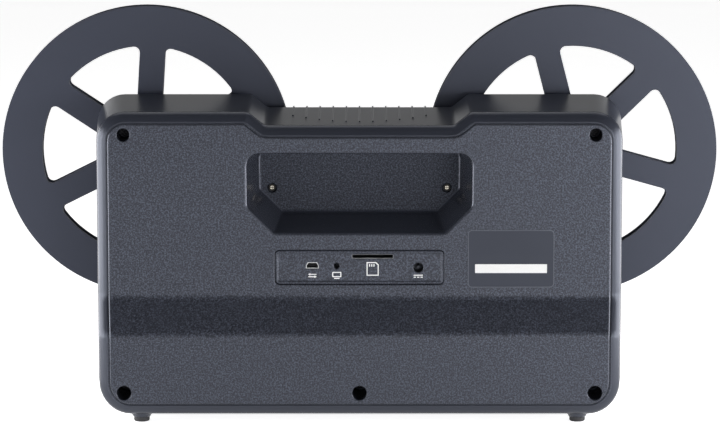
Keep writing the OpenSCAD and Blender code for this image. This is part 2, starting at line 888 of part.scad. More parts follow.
module front_shell() {
    edge_y = seam_y - seam_gap / 2;
    lip_in = tongue_in + tongue_t;
    lip_end = seam_y - lip_run;
    ramp_end = lip_end - lip_ramp;
    last_in = front_r * (1 - cos(front_angles[len(front_angles) - 1]));
    outer = concat(
        [flat_ring(seam_y + tongue_l + over, tongue_in, 0), flat_ring(edge_y, tongue_in, 0)],
        [flat_ring(edge_y, 0, flare_at(edge_y))],
        [for (a = front_angles)
            let (y = front_y + front_r * (1 - sin(a))) flat_ring(y, front_r * (1 - cos(a)), flare_at(y))],
        [flat_ring(front_y - over, last_in, 1)]
    );
    cavity = [
        flat_ring(seam_y + tongue_l + 2 * over, lip_in, 0),
        flat_ring(lip_end, lip_in, flare_at(lip_end)),
        flat_ring(ramp_end, wall, flare_at(ramp_end)),
        flat_ring(inner_y + inner_ease, wall, flare_at(inner_y + inner_ease)),
        flat_ring(inner_y + ease_start, wall + inner_ease, flare_at(inner_y)),
        flat_ring(inner_y - over, wall + inner_ease, flare_at(inner_y))
    ];
    color(dark_plastic)
    difference() {
        union() {
            difference() {
                between(front_y, seam_y + tongue_l) loft(outer, housing_caps);
                between(inner_y, seam_y + tongue_l + over) loft(cavity, housing_caps);
            }
            for (i = [0:rib_count - 1]) grip_rib(i);
            for (w = wells) rod(w[0], w[1], inner_y - over, joint_y, boss_d);
            for (p = front_posts) rod(p[0], p[1], inner_y - over, front_board_y, post_d);
            for (s = [-1, 1]) {
                rod(s * recess_screw_x, recess_screw_z, inner_y - over, recess_post_y, boss_d);
                rod(motor_x, spindle_z + s * bracket_post_z, inner_y - over, bracket_y, post_d);
                rod(s * spindle_x, spindle_z, inner_y - over, bush_back_y, bush_boss_d);
                foot_boss(s * foot_x, foot_front_y);
            }
        }
        for (w = wells)
            rod(w[0], w[1], joint_y - screw_grip - screw_drill, joint_y + over, screw_d + screw_fit);
        for (p = front_posts)
            rod(p[0], p[1], front_board_y - small_grip - tap_drill, front_board_y + over,
                small_screw_d + screw_fit);
        for (s = [-1, 1]) {
            rod(s * recess_screw_x, recess_screw_z, recess_post_y - screw_grip - screw_drill,
                recess_post_y + over, screw_d + screw_fit);
            rod(motor_x, spindle_z + s * bracket_post_z, bracket_y - small_grip - tap_drill, bracket_y + over,
                small_screw_d + screw_fit);
            rod(s * spindle_x, spindle_z, front_y - over, bush_back_y + over, bush_d + 2 * seat_fit);
            rod(s * gate_screw_x, gate_screw_z, front_y - over, inner_y + over, screw_d + shank_clear);
        }
        for (p = roller_spots) rod(p[0], p[1], front_y - over, inner_y + over, post_tail_d + 2 * seat_fit);
        for (i = [0:len(key_names) - 1])
            rod(key_x(i), key_z, front_y - over, inner_y + over, key_d + 2 * key_gap);
        slab(front_y - over, front_y + window_t)
            round_rect(0, window_z, window_w + 2 * seat_fit, window_h + 2 * seat_fit, window_r);
        slab(front_y + window_t / 2, inner_y + over)
            round_rect(0, window_z, window_w - 2 * window_ledge, window_h - 2 * window_ledge, window_r);
        block(0, wire_hole_w, front_y - over, inner_y + over,
            gate_screw_z - wire_hole_h / 2, gate_screw_z + wire_hole_h / 2);
    }
}

// Opening of the small data socket, narrower towards its top
module usb_outline(inset) {
    w = usb_w / 2 - inset;
    h = usb_h / 2 - inset;
    top = w - usb_taper;
    translate([usb_x, usb_z]) polygon([[-w, -h], [w, -h], [w, 0], [top, h], [-top, h], [-w, 0]]);
}

// Plate with a bevelled edge and a sunk field inside its frame
module port_plate() {
    face_y = rear_y - port_sink;
    w = port_w - 2 * pass_gap;
    h = port_h - 2 * pass_gap;
    r = port_r - pass_gap;
    bevel = 2 * port_bevel;
    frame = 2 * port_frame;
    field = 2 * (port_frame + port_field_d);
    field_y = face_y - port_field_d;
    color(dark_plastic)
    difference() {
        hull() {
            slab(port_back_y, face_y - port_bevel) round_rect(0, port_z, w, h, r);
            slab(port_back_y, face_y) round_rect(0, port_z, w - bevel, h - bevel, r - port_bevel);
        }
        hull() {
            slab(field_y, face_y + over) round_rect(0, port_z, w - field, h - field, r - port_frame);
            slab(face_y, face_y + over) round_rect(0, port_z, w - frame, h - frame, r - port_frame);
        }
        slab(port_back_y - over, face_y) usb_outline(0);
        rod(av_x, av_z, port_back_y - over, face_y, av_d);
        block(card_x, card_w, port_back_y - over, face_y, card_z - card_h / 2, card_z + card_h / 2);
        rod(power_x, power_z, port_back_y - over, face_y, power_d);
    }
}

module feet() {
    color(black)
    for (s = [-1, 1], y = [foot_rear_y, foot_front_y])
        translate([s * foot_x, y, 0]) {
            cylinder(d1 = foot_d - 2 * foot_edge, d2 = foot_d, h = foot_edge);
            translate([0, 0, foot_edge]) cylinder(d = foot_d, h = bottom_z - foot_boss_h - foot_edge);
        }
}

// Pan-head screw along the depth, with its head resting on a floor and its shank going forward
module depth_screw(x, z, floor_y, shank_l, d, head_d, head_h) {
    rod(x, z, floor_y - shank_l, floor_y, d);
    difference() {
        rod(x, z, floor_y, floor_y + head_h, head_d);
        for (a = [0, 90]) translate([x, floor_y + head_h, z]) rotate([0, a, 0])
            cube([head_d * cross_l, head_h, head_d * cross_w], center = true);
    }
}

module cover_screws() {
    color(steel)
    for (w = wells)
        depth_screw(w[0], w[1], well_floor_y, well_floor_t + screw_grip, screw_d, screw_head_d, screw_head_h);
}

module recess_screws() {
    floor_y = recess_floor_y - recess_well_depth;
    shank_l = floor_y - recess_post_y + screw_grip;
    color(brass)
    for (s = [-1, 1])
        depth_screw(s * recess_screw_x, recess_screw_z, floor_y, shank_l,
            screw_d, recess_head_d, screw_head_h);
}

module main_board() {
    color(board_green)
    difference() {
        block(0, main_w, main_back_y - main_d, main_back_y, main_bottom, main_top);
        for (s = [-1, 1]) translate([s * (main_w - shelf_w) / 2, main_screw_y, main_bottom - over])
            cylinder(d = small_screw_d + shank_clear, h = board_t + 2 * over);
    }
}

module usb_socket() {
    tongue_w = usb_w - 2 * (usb_taper + usb_shell);
    color(steel) {
        difference() {
            block(usb_x, usb_w, socket_y - usb_l, socket_y, usb_z - usb_h / 2, main_bottom);
            slab(socket_y - usb_depth, socket_y + over) usb_outline(usb_shell);
        }
        block(usb_x, tongue_w, socket_y - usb_depth - usb_shell, socket_y - usb_tongue_in,
            usb_z - usb_tongue_t / 2, usb_z + usb_tongue_t / 2);
    }
}

module av_socket() {
    color(black)
    difference() {
        block(av_x, av_body_w, socket_y - av_l, socket_y, 2 * av_z - main_bottom, main_bottom);
        rod(av_x, av_z, socket_y - av_depth, socket_y + over, av_d);
    }
}

module card_socket() {
    slot_w = card_w - 2 * seat_fit;
    slot_h = card_h - 4 * seat_fit;
    color(steel)
    difference() {
        block(card_x, card_w + 2 * card_wall, socket_y - card_l, socket_y, main_top, 2 * card_z - main_top);
        block(card_x, slot_w, socket_y - card_depth, socket_y + over,
            card_z - slot_h / 2, card_z + slot_h / 2);
    }
}

module power_socket() {
    color(black) {
        difference() {
            block(power_x, power_body_w, socket_y - power_l, socket_y,
                2 * power_z - main_bottom, main_bottom);
            rod(power_x, power_z, socket_y - power_depth, socket_y + over, power_d);
        }
        rod(power_x, power_z, socket_y - power_depth - power_pin_in, socket_y - power_pin_in, power_pin_d);
    }
}

module display_window() {
    color(black)
    slab(front_y, front_y + window_t) round_rect(0, window_z, window_w, window_h, window_r - seat_fit);
}

module display_module() {
    color([0.15, 0.17, 0.22])
    block(0, display_w, inner_y, inner_y + display_t, window_z - display_h / 2, window_z + display_h / 2);
}

module front_board() {
    back_y = front_board_y + board_t;
    color(board_green)
    difference() {
        block(0, 2 * front_board_half, front_board_y, back_y, front_board_low, front_board_high);
        for (p = front_posts)
            rod(p[0], p[1], front_board_y - over, back_y + over, small_screw_d + shank_clear);
    }
}

function key_x(i) = (i - (len(key_names) - 1) / 2) * key_pitch;

module key_switches() {
    body_y = switch_front_y + plunger_h;
    color(black)
    for (i = [0:len(key_names) - 1]) {
        block(key_x(i), switch_w, body_y, front_board_y, key_z - switch_w / 2, key_z + switch_w / 2);
        rod(key_x(i), key_z, switch_front_y, body_y, plunger_d);
    }
}

// Small screw that holds a board
module board_screw(x, z, floor_y) {
    depth_screw(x, z, floor_y, board_t + small_grip, small_screw_d, small_head_d, small_head_h);
}

module board_screws() {
    color(steel) {
        for (p = front_posts) board_screw(p[0], p[1], front_board_y + board_t);
        for (s = [-1, 1]) translate([s * (main_w - shelf_w) / 2, main_screw_y, main_top]) rotate([90, 0, 0])
            board_screw(0, 0, 0);
    }
}

// Key cap with a flange behind the wall, a soft front edge and a dished face
module key_cap(i) {
    face_y = front_y - key_proud;
    flange_y = inner_y + key_rest_gap;
    back_y = flange_y + key_flange_t;
    r = key_d / 2;
    color(black)
    turned(key_x(i), key_z, [
        [0, back_y], [key_flange_d / 2, back_y], [key_flange_d / 2, flange_y], [r, flange_y],
        [r, face_y + key_edge], [r - key_edge, face_y],
        [r * key_dish_r, face_y + key_dish / 3], [0, face_y + key_dish]
    ]);
}

module power_key() key_cap(0);
module back_key() key_cap(1);
module up_key() key_cap(2);
module down_key() key_cap(3);
module ok_key() key_cap(4);

module spindle_bushes() {
    face_y = front_y - bush_flange_t;
    color(brass)
    for (s = [-1, 1]) difference() {
        union() {
            rod(s * spindle_x, spindle_z, face_y, front_y, bush_flange_d);
            rod(s * spindle_x, spindle_z, face_y + bush_flange_t / 2, bush_back_y, bush_d);
        }
        rod(s * spindle_x, spindle_z, face_y - over, bush_back_y + over, shaft_d + 2 * run_fit);
    }
}

module drag_washer() {
    back_y = front_y - bush_flange_t;
    color([0.35, 0.33, 0.30])
    difference() {
        rod(-spindle_x, spindle_z, back_y - washer_t, back_y, collar_d);
        rod(-spindle_x, spindle_z, back_y - washer_t - over, back_y + over, shaft_d + 2 * seat_fit);
    }
}

supply_clip_y = bush_back_y + pass_gap;
takeup_clip_y = gear_back_y + clip_gap;

// Spindle with a seat disc, a reel seat with lugs and a rounded tip
module spindle(x, turn, clip_y, washer) {
    r = shaft_d / 2;
    neck_r = r - clip_groove;
    collar_r = collar_d / 2;
    disc_r = seat_disc_d / 2;
    seat_y = reel_back_y + seat_fit;
    seat_r = reel_bore / 2 - run_fit;
    disc_y = seat_y + seat_disc_t;
    collar_y = front_y - bush_flange_t - washer - seat_fit;
    neck_y = clip_y - clip_gap / 2;
    groove_y = clip_y + clip_t + clip_gap;
    end_y = groove_y + clip_groove;
    color(black) {
        turned(x, spindle_z, [
            [0, end_y], [r, end_y], [r, groove_y], [neck_r, groove_y], [neck_r, neck_y], [r, neck_y],
            [r, collar_y], [collar_r, collar_y], [collar_r, disc_y], [disc_r, disc_y], [disc_r, seat_y],
            [seat_r, seat_y], [seat_r, reel_front_y - tip_land], [seat_r - tip_taper, tip_y + tip_shoulder],
            [seat_r - tip_round, tip_y + tip_edge], [seat_r - tip_round - tip_edge, tip_y], [0, tip_y]
        ]);
        translate([x, 0, spindle_z]) rotate([0, -turn, 0])
            for (k = [0:lug_count - 1]) rotate([0, 360 / lug_count * k, 0])
                span([seat_r - over, seat_r + lug_h], [reel_front_y + flange_t, seat_y + over],
                    [-lug_w / 2, lug_w / 2]);
    }
}

module supply_spindle() spindle(-spindle_x, supply_turn, supply_clip_y, washer_t);
module takeup_spindle() spindle(spindle_x, takeup_turn, takeup_clip_y, 0);

// Open spring clip in the groove of a spindle
module spindle_clip(x, clip_y) {
    inner_d = shaft_d - 2 * clip_groove + 2 * run_fit;
    color(steel)
    difference() {
        rod(x, spindle_z, clip_y, clip_y + clip_t, shaft_d + 2 * clip_w);
        rod(x, spindle_z, clip_y - over, clip_y + clip_t + over, inner_d);
        block(x, inner_d * clip_mouth, clip_y - over, clip_y + clip_t + over, spindle_z - shaft_d, spindle_z);
    }
}

module supply_clip() spindle_clip(-spindle_x, supply_clip_y);
module takeup_clip() spindle_clip(spindle_x, takeup_clip_y);

function polar(r, a) = r * [cos(a), sin(a)];
function arc(c, r, a0, a1, steps) = [for (k = [0:steps]) c + polar(r, a0 + (a1 - a0) * k / steps)];

// Opening between the spokes at 0 and at one spoke pitch, with rounded corners
module flange_slot() {
    pitch = 360 / spoke_count;
    off = spoke_w / 2 + slot_r;
    ro = slot_out - slot_r;
    ri = slot_in + slot_r;
    a1 = asin(off / ro);
    a2 = asin(off / ri);
    polygon(concat(
        arc(polar(ro, a1), slot_r, -90, a1, slot_steps),
        arc([0, 0], slot_out, a1 + slot_ease, pitch - a1 - slot_ease, 2 * slot_steps),
        arc(polar(ro, pitch - a1), slot_r, pitch - a1, pitch + 90, slot_steps),
        arc(polar(ri, pitch - a2), slot_r, pitch + 90, pitch - a2 + 180, slot_steps),
        arc(polar(ri, a2), slot_r, a2 + 180, 270, slot_steps)
    ));
}

// Keyed bore of a reel
module reel_bore_2d() {
    circle(d = reel_bore);
    for (k = [0:lug_count - 1]) rotate(-360 / lug_count * k)
        translate([0, -lug_w / 2 - seat_fit])
            square([reel_bore / 2 + lug_h + pass_gap, lug_w + 2 * seat_fit]);
}

module reel_flange_2d() {
    difference() {
        circle(r = reel_r, $fn = 144);
        for (k = [0:spoke_count - 1]) rotate(360 / spoke_count * k) flange_slot();
        reel_bore_2d();
    }
}

module on_reel(x, turn) {
    translate([x, spindle_z]) rotate(turn) children();
}

module reel_back(x, turn) {
    color(reel_grey) {
        slab(reel_back_y - flange_t, reel_back_y) on_reel(x, turn) reel_flange_2d();
        slab(reel_front_y + flange_t, reel_back_y - flange_t / 2) on_reel(x, turn) {
            difference() {
                circle(d = core_d);
                circle(d = core_d - 2 * core_wall);
            }
            difference() {
                circle(r = hub_r);
                reel_bore_2d();
            }
        }
    }
}

module reel_front(x, turn) {
    color(reel_grey)
    slab(reel_front_y, reel_front_y + flange_t) on_reel(x, turn) reel_flange_2d();
}

module supply_reel_back() reel_back(-spindle_x, supply_turn);
module supply_reel_front() reel_front(-spindle_x, supply_turn);
module takeup_reel_back() reel_back(spindle_x, takeup_turn);
module takeup_reel_front() reel_front(spindle_x, takeup_turn);

// Involute gear outline with one tooth on the x axis
function involute(a) = tan(a) * 180 / PI - a;
module gear_2d(teeth) {
    rp = gear_m * teeth / 2;
    rb = rp * cos(pressure_angle);
    tip = rp + gear_m * gear_addendum;
    root = rp - gear_m * gear_root;
    low = max(rb, root + root_step);
    half = 90 / teeth - gear_backlash / 2 / rp * 180 / PI + involute(pressure_angle);
    flank = [for (k = [0:flank_steps])
        let (r = low + (tip - low) * k / flank_steps) [r, half - involute(acos(min(1, rb / r)))]];
    polygon([for (i = [0:teeth - 1]) let (a = 360 / teeth * i) each concat(
        [polar(root, a - flank[0][1])],
        [for (f = flank) polar(f[0], a - f[1])],
        [for (k = [flank_steps:-1:0]) polar(flank[k][0], a + flank[k][1])],
        [polar(root, a + flank[0][1])]
    )]);
}

module takeup_gear() {
    color([0.85, 0.84, 0.80])
    slab(gear_back_y - gear_w, gear_back_y) translate([spindle_x, spindle_z]) difference() {
        gear_2d(gear_teeth);
        circle(d = shaft_d + 2 * run_fit);
    }
}

module motor_pinion() {
    color(brass)
    slab(gear_back_y - gear_w, gear_back_y)
        translate([motor_x, spindle_z]) rotate(180 / pinion_teeth) difference() {
            gear_2d(pinion_teeth);
            circle(d = motor_shaft_d + 2 * run_fit);
        }
}

module motor_shaft() {
    front = gear_back_y - gear_w - shaft_end;
    color(steel) rod(motor_x, spindle_z, front, bracket_y + bracket_t + motor_shaft_in, motor_shaft_d);
}

module takeup_motor() {
    face_y = bracket_y + bracket_t;
    nose_y = face_y - motor_nose_l;
    bore_y = face_y + motor_shaft_in + pass_gap;
    color(steel)
    difference() {
        union() {
            rod(motor_x, spindle_z, face_y, face_y + motor_l, motor_d);
            rod(motor_x, spindle_z, nose_y, face_y + over, motor_nose_d);
        }
        rod(motor_x, spindle_z, nose_y - over, bore_y, motor_shaft_d + 2 * run_fit);
    }
}

module drive_bracket() {
    front = bracket_y - over;
    back = bracket_y + bracket_t + over;
    color(steel)
    difference() {
        slab(bracket_y, bracket_y + bracket_t)
            round_rect(motor_x, spindle_z, 2 * bracket_w, 2 * (bracket_post_z + bracket_end), bracket_r);
        rod(motor_x, spindle_z, front, back, motor_nose_d + 2 * seat_fit);
        for (s = [-1, 1])
            rod(motor_x, spindle_z + s * bracket_post_z, front, back, small_screw_d + shank_clear);
    }
}

module bracket_screws() {
    color(steel)
    for (s = [-1, 1])
        depth_screw(motor_x, spindle_z + s * bracket_post_z, bracket_y + bracket_t, bracket_t + small_grip,
            small_screw_d, small_head_d, small_head_h);
}

module roller_posts() {
    shoulder_y = roller_back_y + pass_gap;
    head_y = roller_back_y - roller_l - pass_gap;
    color(steel)
    for (p = roller_spots) {
        rod(p[0], p[1], front_y - over, inner_y, post_tail_d);
        rod(p[0], p[1], shoulder_y, front_y, post_base_d);
        rod(p[0], p[1], head_y - post_head_t, shoulder_y + over, pin_d);
        rod(p[0], p[1], head_y - post_head_t, head_y, post_head_d);
    }
}

module guide_roller(i) {
    p = roller_spots[i];
    y1 = roller_back_y;
    y0 = y1 - roller_l;
    bore = pin_d / 2 + run_fit;
    rim = roller_flange_d / 2;
    r = roller_d / 2;
    color([0.75, 0.75, 0.73])
    turned(p[0], p[1], [
        [bore, y1], [rim, y1], [rim, y1 - roller_flange_t], [r, y1 - roller_flange_t],
        [r, y0 + roller_flange_t], [rim, y0 + roller_flange_t], [rim, y0], [bore, y0]
    ]);
}

module guide_roller_1() guide_roller(0);
module guide_roller_2() guide_roller(1);
module guide_roller_3() guide_roller(2);
module guide_roller_4() guide_roller(3);

// Plan of the gate with round front corners, drawn in by an inset
module gate_plan(inset, back) {
    w = gate_w - 2 * inset;
    r = gate_r - inset;
    y0 = gate_front_y + inset;
    translate([-w / 2 + r, y0]) square([w - 2 * r, back - y0]);
    translate([-w / 2, y0 + r]) square([w, back - y0 - r]);
    for (s = [-1, 1]) translate([s * (w / 2 - r), y0 + r]) circle(r = r);
}

// Block across the middle of the film
module film_block(w, d, z0, z1) {
    block(0, w, film_y - d / 2, film_y + d / 2, z0, z1);
}

// Slot that the claw's tip passes through
module claw_slot(z0, z1) {
    depth = claw_tip_h / 2 + slot_gap;
    block(claw_x, claw_w + claw_stroke + 2 * slot_gap, claw_y - depth, claw_y + depth, z0, z1);
}

module gate_block() {
    floor_z = gate_bottom + gate_wall;
    roof_z = gate_top - gate_wall;
    ear_x = gate_half - ear_t;
    boss_y = front_y - screw_grip - 2 * screw_drill;
    boss_reach = gate_half - gate_wall / 2;
    slot_h = selector_neck_h / 2 + run_fit;
    color(dark_plastic)
    difference() {
        union() {
            difference() {
                translate([0, 0, gate_bottom])
                    linear_extrude(height = gate_top - gate_bottom) gate_plan(0, front_y);
                translate([0, 0, floor_z])
                    linear_extrude(height = roof_z - floor_z) gate_plan(gate_wall, front_y + over);
            }
            for (s = [-1, 1]) {
                block(s * (ear_x + ear_t / 2), ear_t, hinge_y - ear_r, front_y, gate_top - over, hinge_z);
                mirror([s < 0 ? 1 : 0, 0, 0]) cross_rod(ear_x, gate_half, hinge_y, hinge_z, 2 * ear_r);
                rod(s * gate_screw_x, gate_screw_z, boss_y, front_y, gate_boss_d);
                block(s * (gate_screw_x + boss_reach) / 2, boss_reach - gate_screw_x, boss_y, front_y,
                    gate_screw_z - gate_web / 2, gate_screw_z + gate_web / 2);
            }
            for (x = camera_ribs)
                block(x, camera_rib_w, film_y - camera_half_y, film_y + camera_half_y,
                    floor_z - over / 2, camera_floor);
        }
        cross_rod(-gate_half - over, gate_half + over, hinge_y, hinge_z, hinge_d + 2 * run_fit);
        for (s = [-1, 1])
            rod(s * gate_screw_x, gate_screw_z, front_y - screw_grip - screw_drill, front_y + over,
                screw_d + screw_fit);
        film_block(lens_d, lens_d, roof_z - over, gate_top + over);
        claw_slot(roof_z - over, gate_top + over);
        block(selector_x, selector_neck_w + selector_stroke + 2 * pass_gap, gate_front_y - over,
            gate_front_y + gate_wall + over, selector_z - slot_h, selector_z + slot_h);
    }
}

module gate_plate() {
    half = gate_half - ear_t - plate_end;
    color(steel)
    difference() {
        union() {
            film_block(2 * half, film_w + 2 * rail_w + 2 * plate_margin, gate_top, film_z);
            for (s = [-1, 1]) translate([0, film_y + s * (film_w + rail_w) / 2, 0])
                block(0, 2 * half, -rail_w / 2, rail_w / 2, film_z - plate_t / 2, film_z + rail_h);
        }
        film_block(window_x, window_y, gate_top - over, film_z + over);
        claw_slot(gate_top - over, film_z + over);
    }
}

module gate_screws() {
    color(steel)
    for (s = [-1, 1])
        depth_screw(s * gate_screw_x, gate_screw_z, inner_y, wall + screw_grip,
            screw_d, screw_head_d, screw_head_h);
}

module camera_board() {
    color(board_green)
    span([camera_x0, drive_x0 - board_gap], [film_y - camera_half_y, film_y + camera_half_y],
        [camera_floor, lens_bottom]);
}

module lens_barrel() {
    color(black)
    translate([0, film_y, lens_bottom]) difference() {
        cylinder(d = lens_d, h = lens_top - lens_bottom);
        translate([0, 0, -over])
            cylinder(d = lens_glass_d - 2 * lens_seat, h = lens_top - lens_bottom + 2 * over);
        translate([0, 0, lens_top - lens_bottom - lens_glass_t - lens_rim])
            cylinder(d = lens_glass_d + 2 * seat_fit, h = lens_glass_t + lens_rim + over);
    }
}

module lens_glass() {
    color([0.6, 0.7, 0.8])
    translate([0, film_y, lens_top - lens_glass_t - lens_rim]) cylinder(d = lens_glass_d, h = lens_glass_t);
}

module claw() {
    half = claw_bar_w / 2;
    color(steel) {
        block(claw_x + claw_bar_off, claw_bar_l, claw_y - half, claw_y + half,
            claw_top - claw_bar_h, claw_top);
        block(claw_x, claw_w, claw_y - claw_tip_h / 2, claw_y + claw_tip_h / 2,
            claw_top - claw_bar_h / 2, film_z + claw_reach);
    }
}

module claw_drive() {
    x = [drive_x0, drive_x0 + drive_l];
    rail_y = claw_bar_w / 2 + pass_gap + claw_rail_w / 2;
    color([0.2, 0.2, 0.22]) {
        span(x, [drive_back_y - drive_w, drive_back_y], [gate_bottom + gate_wall, drive_top]);
        for (s = [-1, 1]) translate([0, claw_y + s * rail_y, 0])
            span(x, [-claw_rail_w / 2, claw_rail_w / 2], [drive_top - over, drive_top + claw_rail_h]);
    }
}

module film_selector() {
    x = selector_x - selector_stroke / 2;
    knob_y = gate_front_y - key_gap;
    catch_y = gate_front_y + gate_wall + key_gap;
    color(black) {
        slab(knob_y - selector_knob_t, knob_y)
            round_rect(x, selector_z, selector_knob_w, selector_knob_h, selector_knob_r);
        block(x, selector_neck_w, knob_y - selector_knob_t / 2, catch_y + selector_catch_t / 2,
            selector_z - selector_neck_h / 2, selector_z + selector_neck_h / 2);
        block(x, selector_catch_w, catch_y, catch_y + selector_catch_t,
            selector_z - selector_catch_w / 2, selector_z + selector_catch_w / 2);
    }
}

// Side profile of the gate door: rounded front, finger lip and hinge barrel
module door_profile() {
    r = door_r;
    translate([door_front_y, door_floor]) square([hinge_y - door_front_y, door_top - door_floor - r]);
    translate([door_front_y + r, door_floor]) square([hinge_y - door_front_y - r, door_top - door_floor]);
    translate([door_front_y + r, door_top - r]) circle(r = r);
    translate([door_front_y - door_lip, door_floor]) square([door_lip + over, door_lip_h]);
    translate([hinge_y, hinge_z]) circle(r = hinge_r);
}

module gate_door() {
    roof_z = door_top - door_wall;
    light_top = roof_z - light_post_h;
    half = pad_depth / 2;
    color(dark_plastic)
    difference() {
        union() {
            difference() {
                translate([-door_half, 0, 0]) rotate([90, 0, 90])
                    linear_extrude(height = 2 * door_half) door_profile();
                span([-lamp_half_x, lamp_half_x], [door_front_y + door_wall, lamp_back_y],
                    [door_floor - over, roof_z]);
            }
            for (s = [-1, 1]) {
                block(s * pad_rib_x, pad_rib_t, film_y - half, film_y + half, pad_top, roof_z + over);
                translate([s * light_post_x, film_y, light_top])
                    cylinder(d = light_post_d, h = light_post_h + over);
            }
        }
        cross_rod(-door_half - over, door_half + over, hinge_y, hinge_z, hinge_d + 2 * run_fit);
    }
}

module hinge_pin() {
    color(steel) cross_rod(-gate_half, gate_half, hinge_y, hinge_z, hinge_d);
}

module light_board() {
    top = door_top - door_wall - light_post_h;
    color(board_green) {
        film_block(2 * (light_post_x + light_margin), pad_depth, top - light_board_t, top);
        film_block(lamp_w, lamp_w, top - light_board_t - lamp_t, top - light_board_t / 2);
    }
}

module light_diffuser() {
    color([0.95, 0.95, 0.93]) film_block(2 * window_x, 2 * window_y, pad_top, pad_top + diffuser_t);
}

module pressure_pad() {
    shoe_z = film_z + pad_gap;
    color(black)
    difference() {
        union() {
            film_block(2 * pad_half, pad_depth, shoe_z + pad_shoe, pad_top);
            film_block(2 * (pad_half - pad_end), film_w - 2 * pad_gap, shoe_z, pad_top - pad_flange_t / 2);
        }
        film_block(window_x, window_y, shoe_z - over, pad_top + over);
        claw_slot(shoe_z - over, shoe_z + pad_shoe / 2);
    }
}

rear_cover();
front_shell();
port_plate();
feet();
cover_screws();
recess_screws();
main_board();
usb_socket();
av_socket();
card_socket();
power_socket();
display_window();
display_module();
front_board();
key_switches();
board_screws();
power_key();
back_key();
up_key();
down_key();
ok_key();
spindle_bushes();
drag_washer();
supply_spindle();
supply_clip();
takeup_spindle();
takeup_clip();
supply_reel_back();
supply_reel_front();
takeup_reel_back();
takeup_reel_front();
takeup_gear();
motor_pinion();
motor_shaft();
takeup_motor();
drive_bracket();
bracket_screws();
roller_posts();
guide_roller_1();
guide_roller_2();
guide_roller_3();
guide_roller_4();
gate_block();
gate_plate();
gate_screws();
camera_board();
lens_barrel();
lens_glass();
claw();
claw_drive();
film_selector();
gate_door();
hinge_pin();
light_board();
light_diffuser();
pressure_pad();
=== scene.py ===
"""Looks of the film scanner: finishes of every CAD piece, printed marks, studio light and camera."""

import json
import math

import bmesh
import bpy
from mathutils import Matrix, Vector


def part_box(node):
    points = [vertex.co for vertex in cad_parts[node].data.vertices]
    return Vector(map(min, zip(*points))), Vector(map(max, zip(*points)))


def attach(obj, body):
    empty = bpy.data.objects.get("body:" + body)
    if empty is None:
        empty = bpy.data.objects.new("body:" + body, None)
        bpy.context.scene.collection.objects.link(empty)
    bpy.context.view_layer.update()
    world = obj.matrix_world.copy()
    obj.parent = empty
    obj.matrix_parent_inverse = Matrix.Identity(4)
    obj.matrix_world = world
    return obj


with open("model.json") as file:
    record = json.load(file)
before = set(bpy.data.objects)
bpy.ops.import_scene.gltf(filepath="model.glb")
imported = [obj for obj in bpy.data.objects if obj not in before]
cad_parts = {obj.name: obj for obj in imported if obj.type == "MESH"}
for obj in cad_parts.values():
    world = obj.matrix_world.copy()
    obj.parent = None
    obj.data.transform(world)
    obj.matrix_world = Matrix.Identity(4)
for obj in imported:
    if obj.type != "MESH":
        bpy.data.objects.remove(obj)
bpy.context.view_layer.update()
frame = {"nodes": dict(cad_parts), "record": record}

MM = 0.001

# Camera at the photograph's viewing angle
CAMERA_PLACE = (-0.0003, 2.222, 0.4546)
CAMERA_AIM = (-0.0003, 0.047, 0.1255)
CAMERA_LENS = 185.57
SENSOR_WIDTH = 36.0

# Floor and surroundings
FLOOR_SIZE = 14.0
FLOOR_TONE = 0.90
FLOOR_ROUGHNESS = 0.9
FLOOR_GLOW = 0.86
WORLD_LIGHT = 0.8
FADE_START = 0.04
FADE_END = 0.32
OVERHEAD_TONE = 0.08

# Lamps: width and height, place, and power. Softboxes and wings stand on both sides.
LAMP_TARGET = (0.0, 0.0, 0.12)
SOFTBOX_SIZE = (0.46, 0.26)
SOFTBOX_PLACE = (0.48, 0.02, 0.14)
SOFTBOX_POWER = 2.4
WING_SIZE = (0.6, 0.26)
WING_PLACE = (0.75, 0.60, 0.14)
WING_POWER = 1.4
FILL_SIZE = (4.0, 0.25)
FILL_PLACE = (-1.4, 3.0, 0.34)
FILL_POWER = 9.0
KEY_LAMP_SIZE = (0.8, 0.5)
KEY_LAMP_PLACE = (-0.85, 1.9, 0.16)
KEY_LAMP_POWER = 14.0
TOP_SIZE = (1.6, 1.2)
TOP_PLACE = (0.0, -0.5, 1.3)
TOP_POWER = 6.0

# Rear cover, in millimetres: the bead round the grained panel follows the housing's outline
RIM_WIDTH = 6.7
RIM_BLEND = 0.5
CORNER_R = 18.0
FOOT_HEIGHT = 5.2
DIP_DEPTH = 8.0
DIP_HALF = 56.0
DIP_SLOPE = 10.0
EDGE_R = 1.2
DEEP_START = 8.0
DEEP_END = 28.0

# Grain of the rear cover and port plate: sizes in millimetres, then shares, roughness and gloss
GRAIN_COARSE = 1.0
GRAIN_FINE = 0.55
GRAIN_DEPTH = 0.22
COARSE_SHARE = 0.6
SPARK_FROM = 0.45
SPARK_FULL = 0.63
PLAIN_SHARE = 0.3
ROUND_FROM = 0.80
FLAT_FROM = 0.89
BEAD_RELIEF = 0.15
PANEL_RELIEF = 0.90
BEAD_ROUGHNESS = 0.26
PANEL_ROUGHNESS = 0.38
DEEP_ROUGHNESS = 0.35
EDGE_GLOSS = 1.0
PANEL_GLOSS = 0.5

# Other finishes: gloss, roughness, the tracks' width as a share of their pitch, and the span of most noise
SHELL_GLOSS = 0.4
PLATED_SMOOTH = 0.28
PLATED_ROUGH = 0.42
POLISH = 0.08
WEAR = 0.10
TRACK_WIDTH = 0.03
NOISE_LOW = 0.3
NOISE_HIGH = 0.7

# Painted shade on the screw heads, dark past the middle and in the cross of the drive, in shares of their
# radius
SHADE_START_R = 0.50
SHADE_FULL_R = 0.62
CROSS_HALF = 0.07
CROSS_END = 0.12

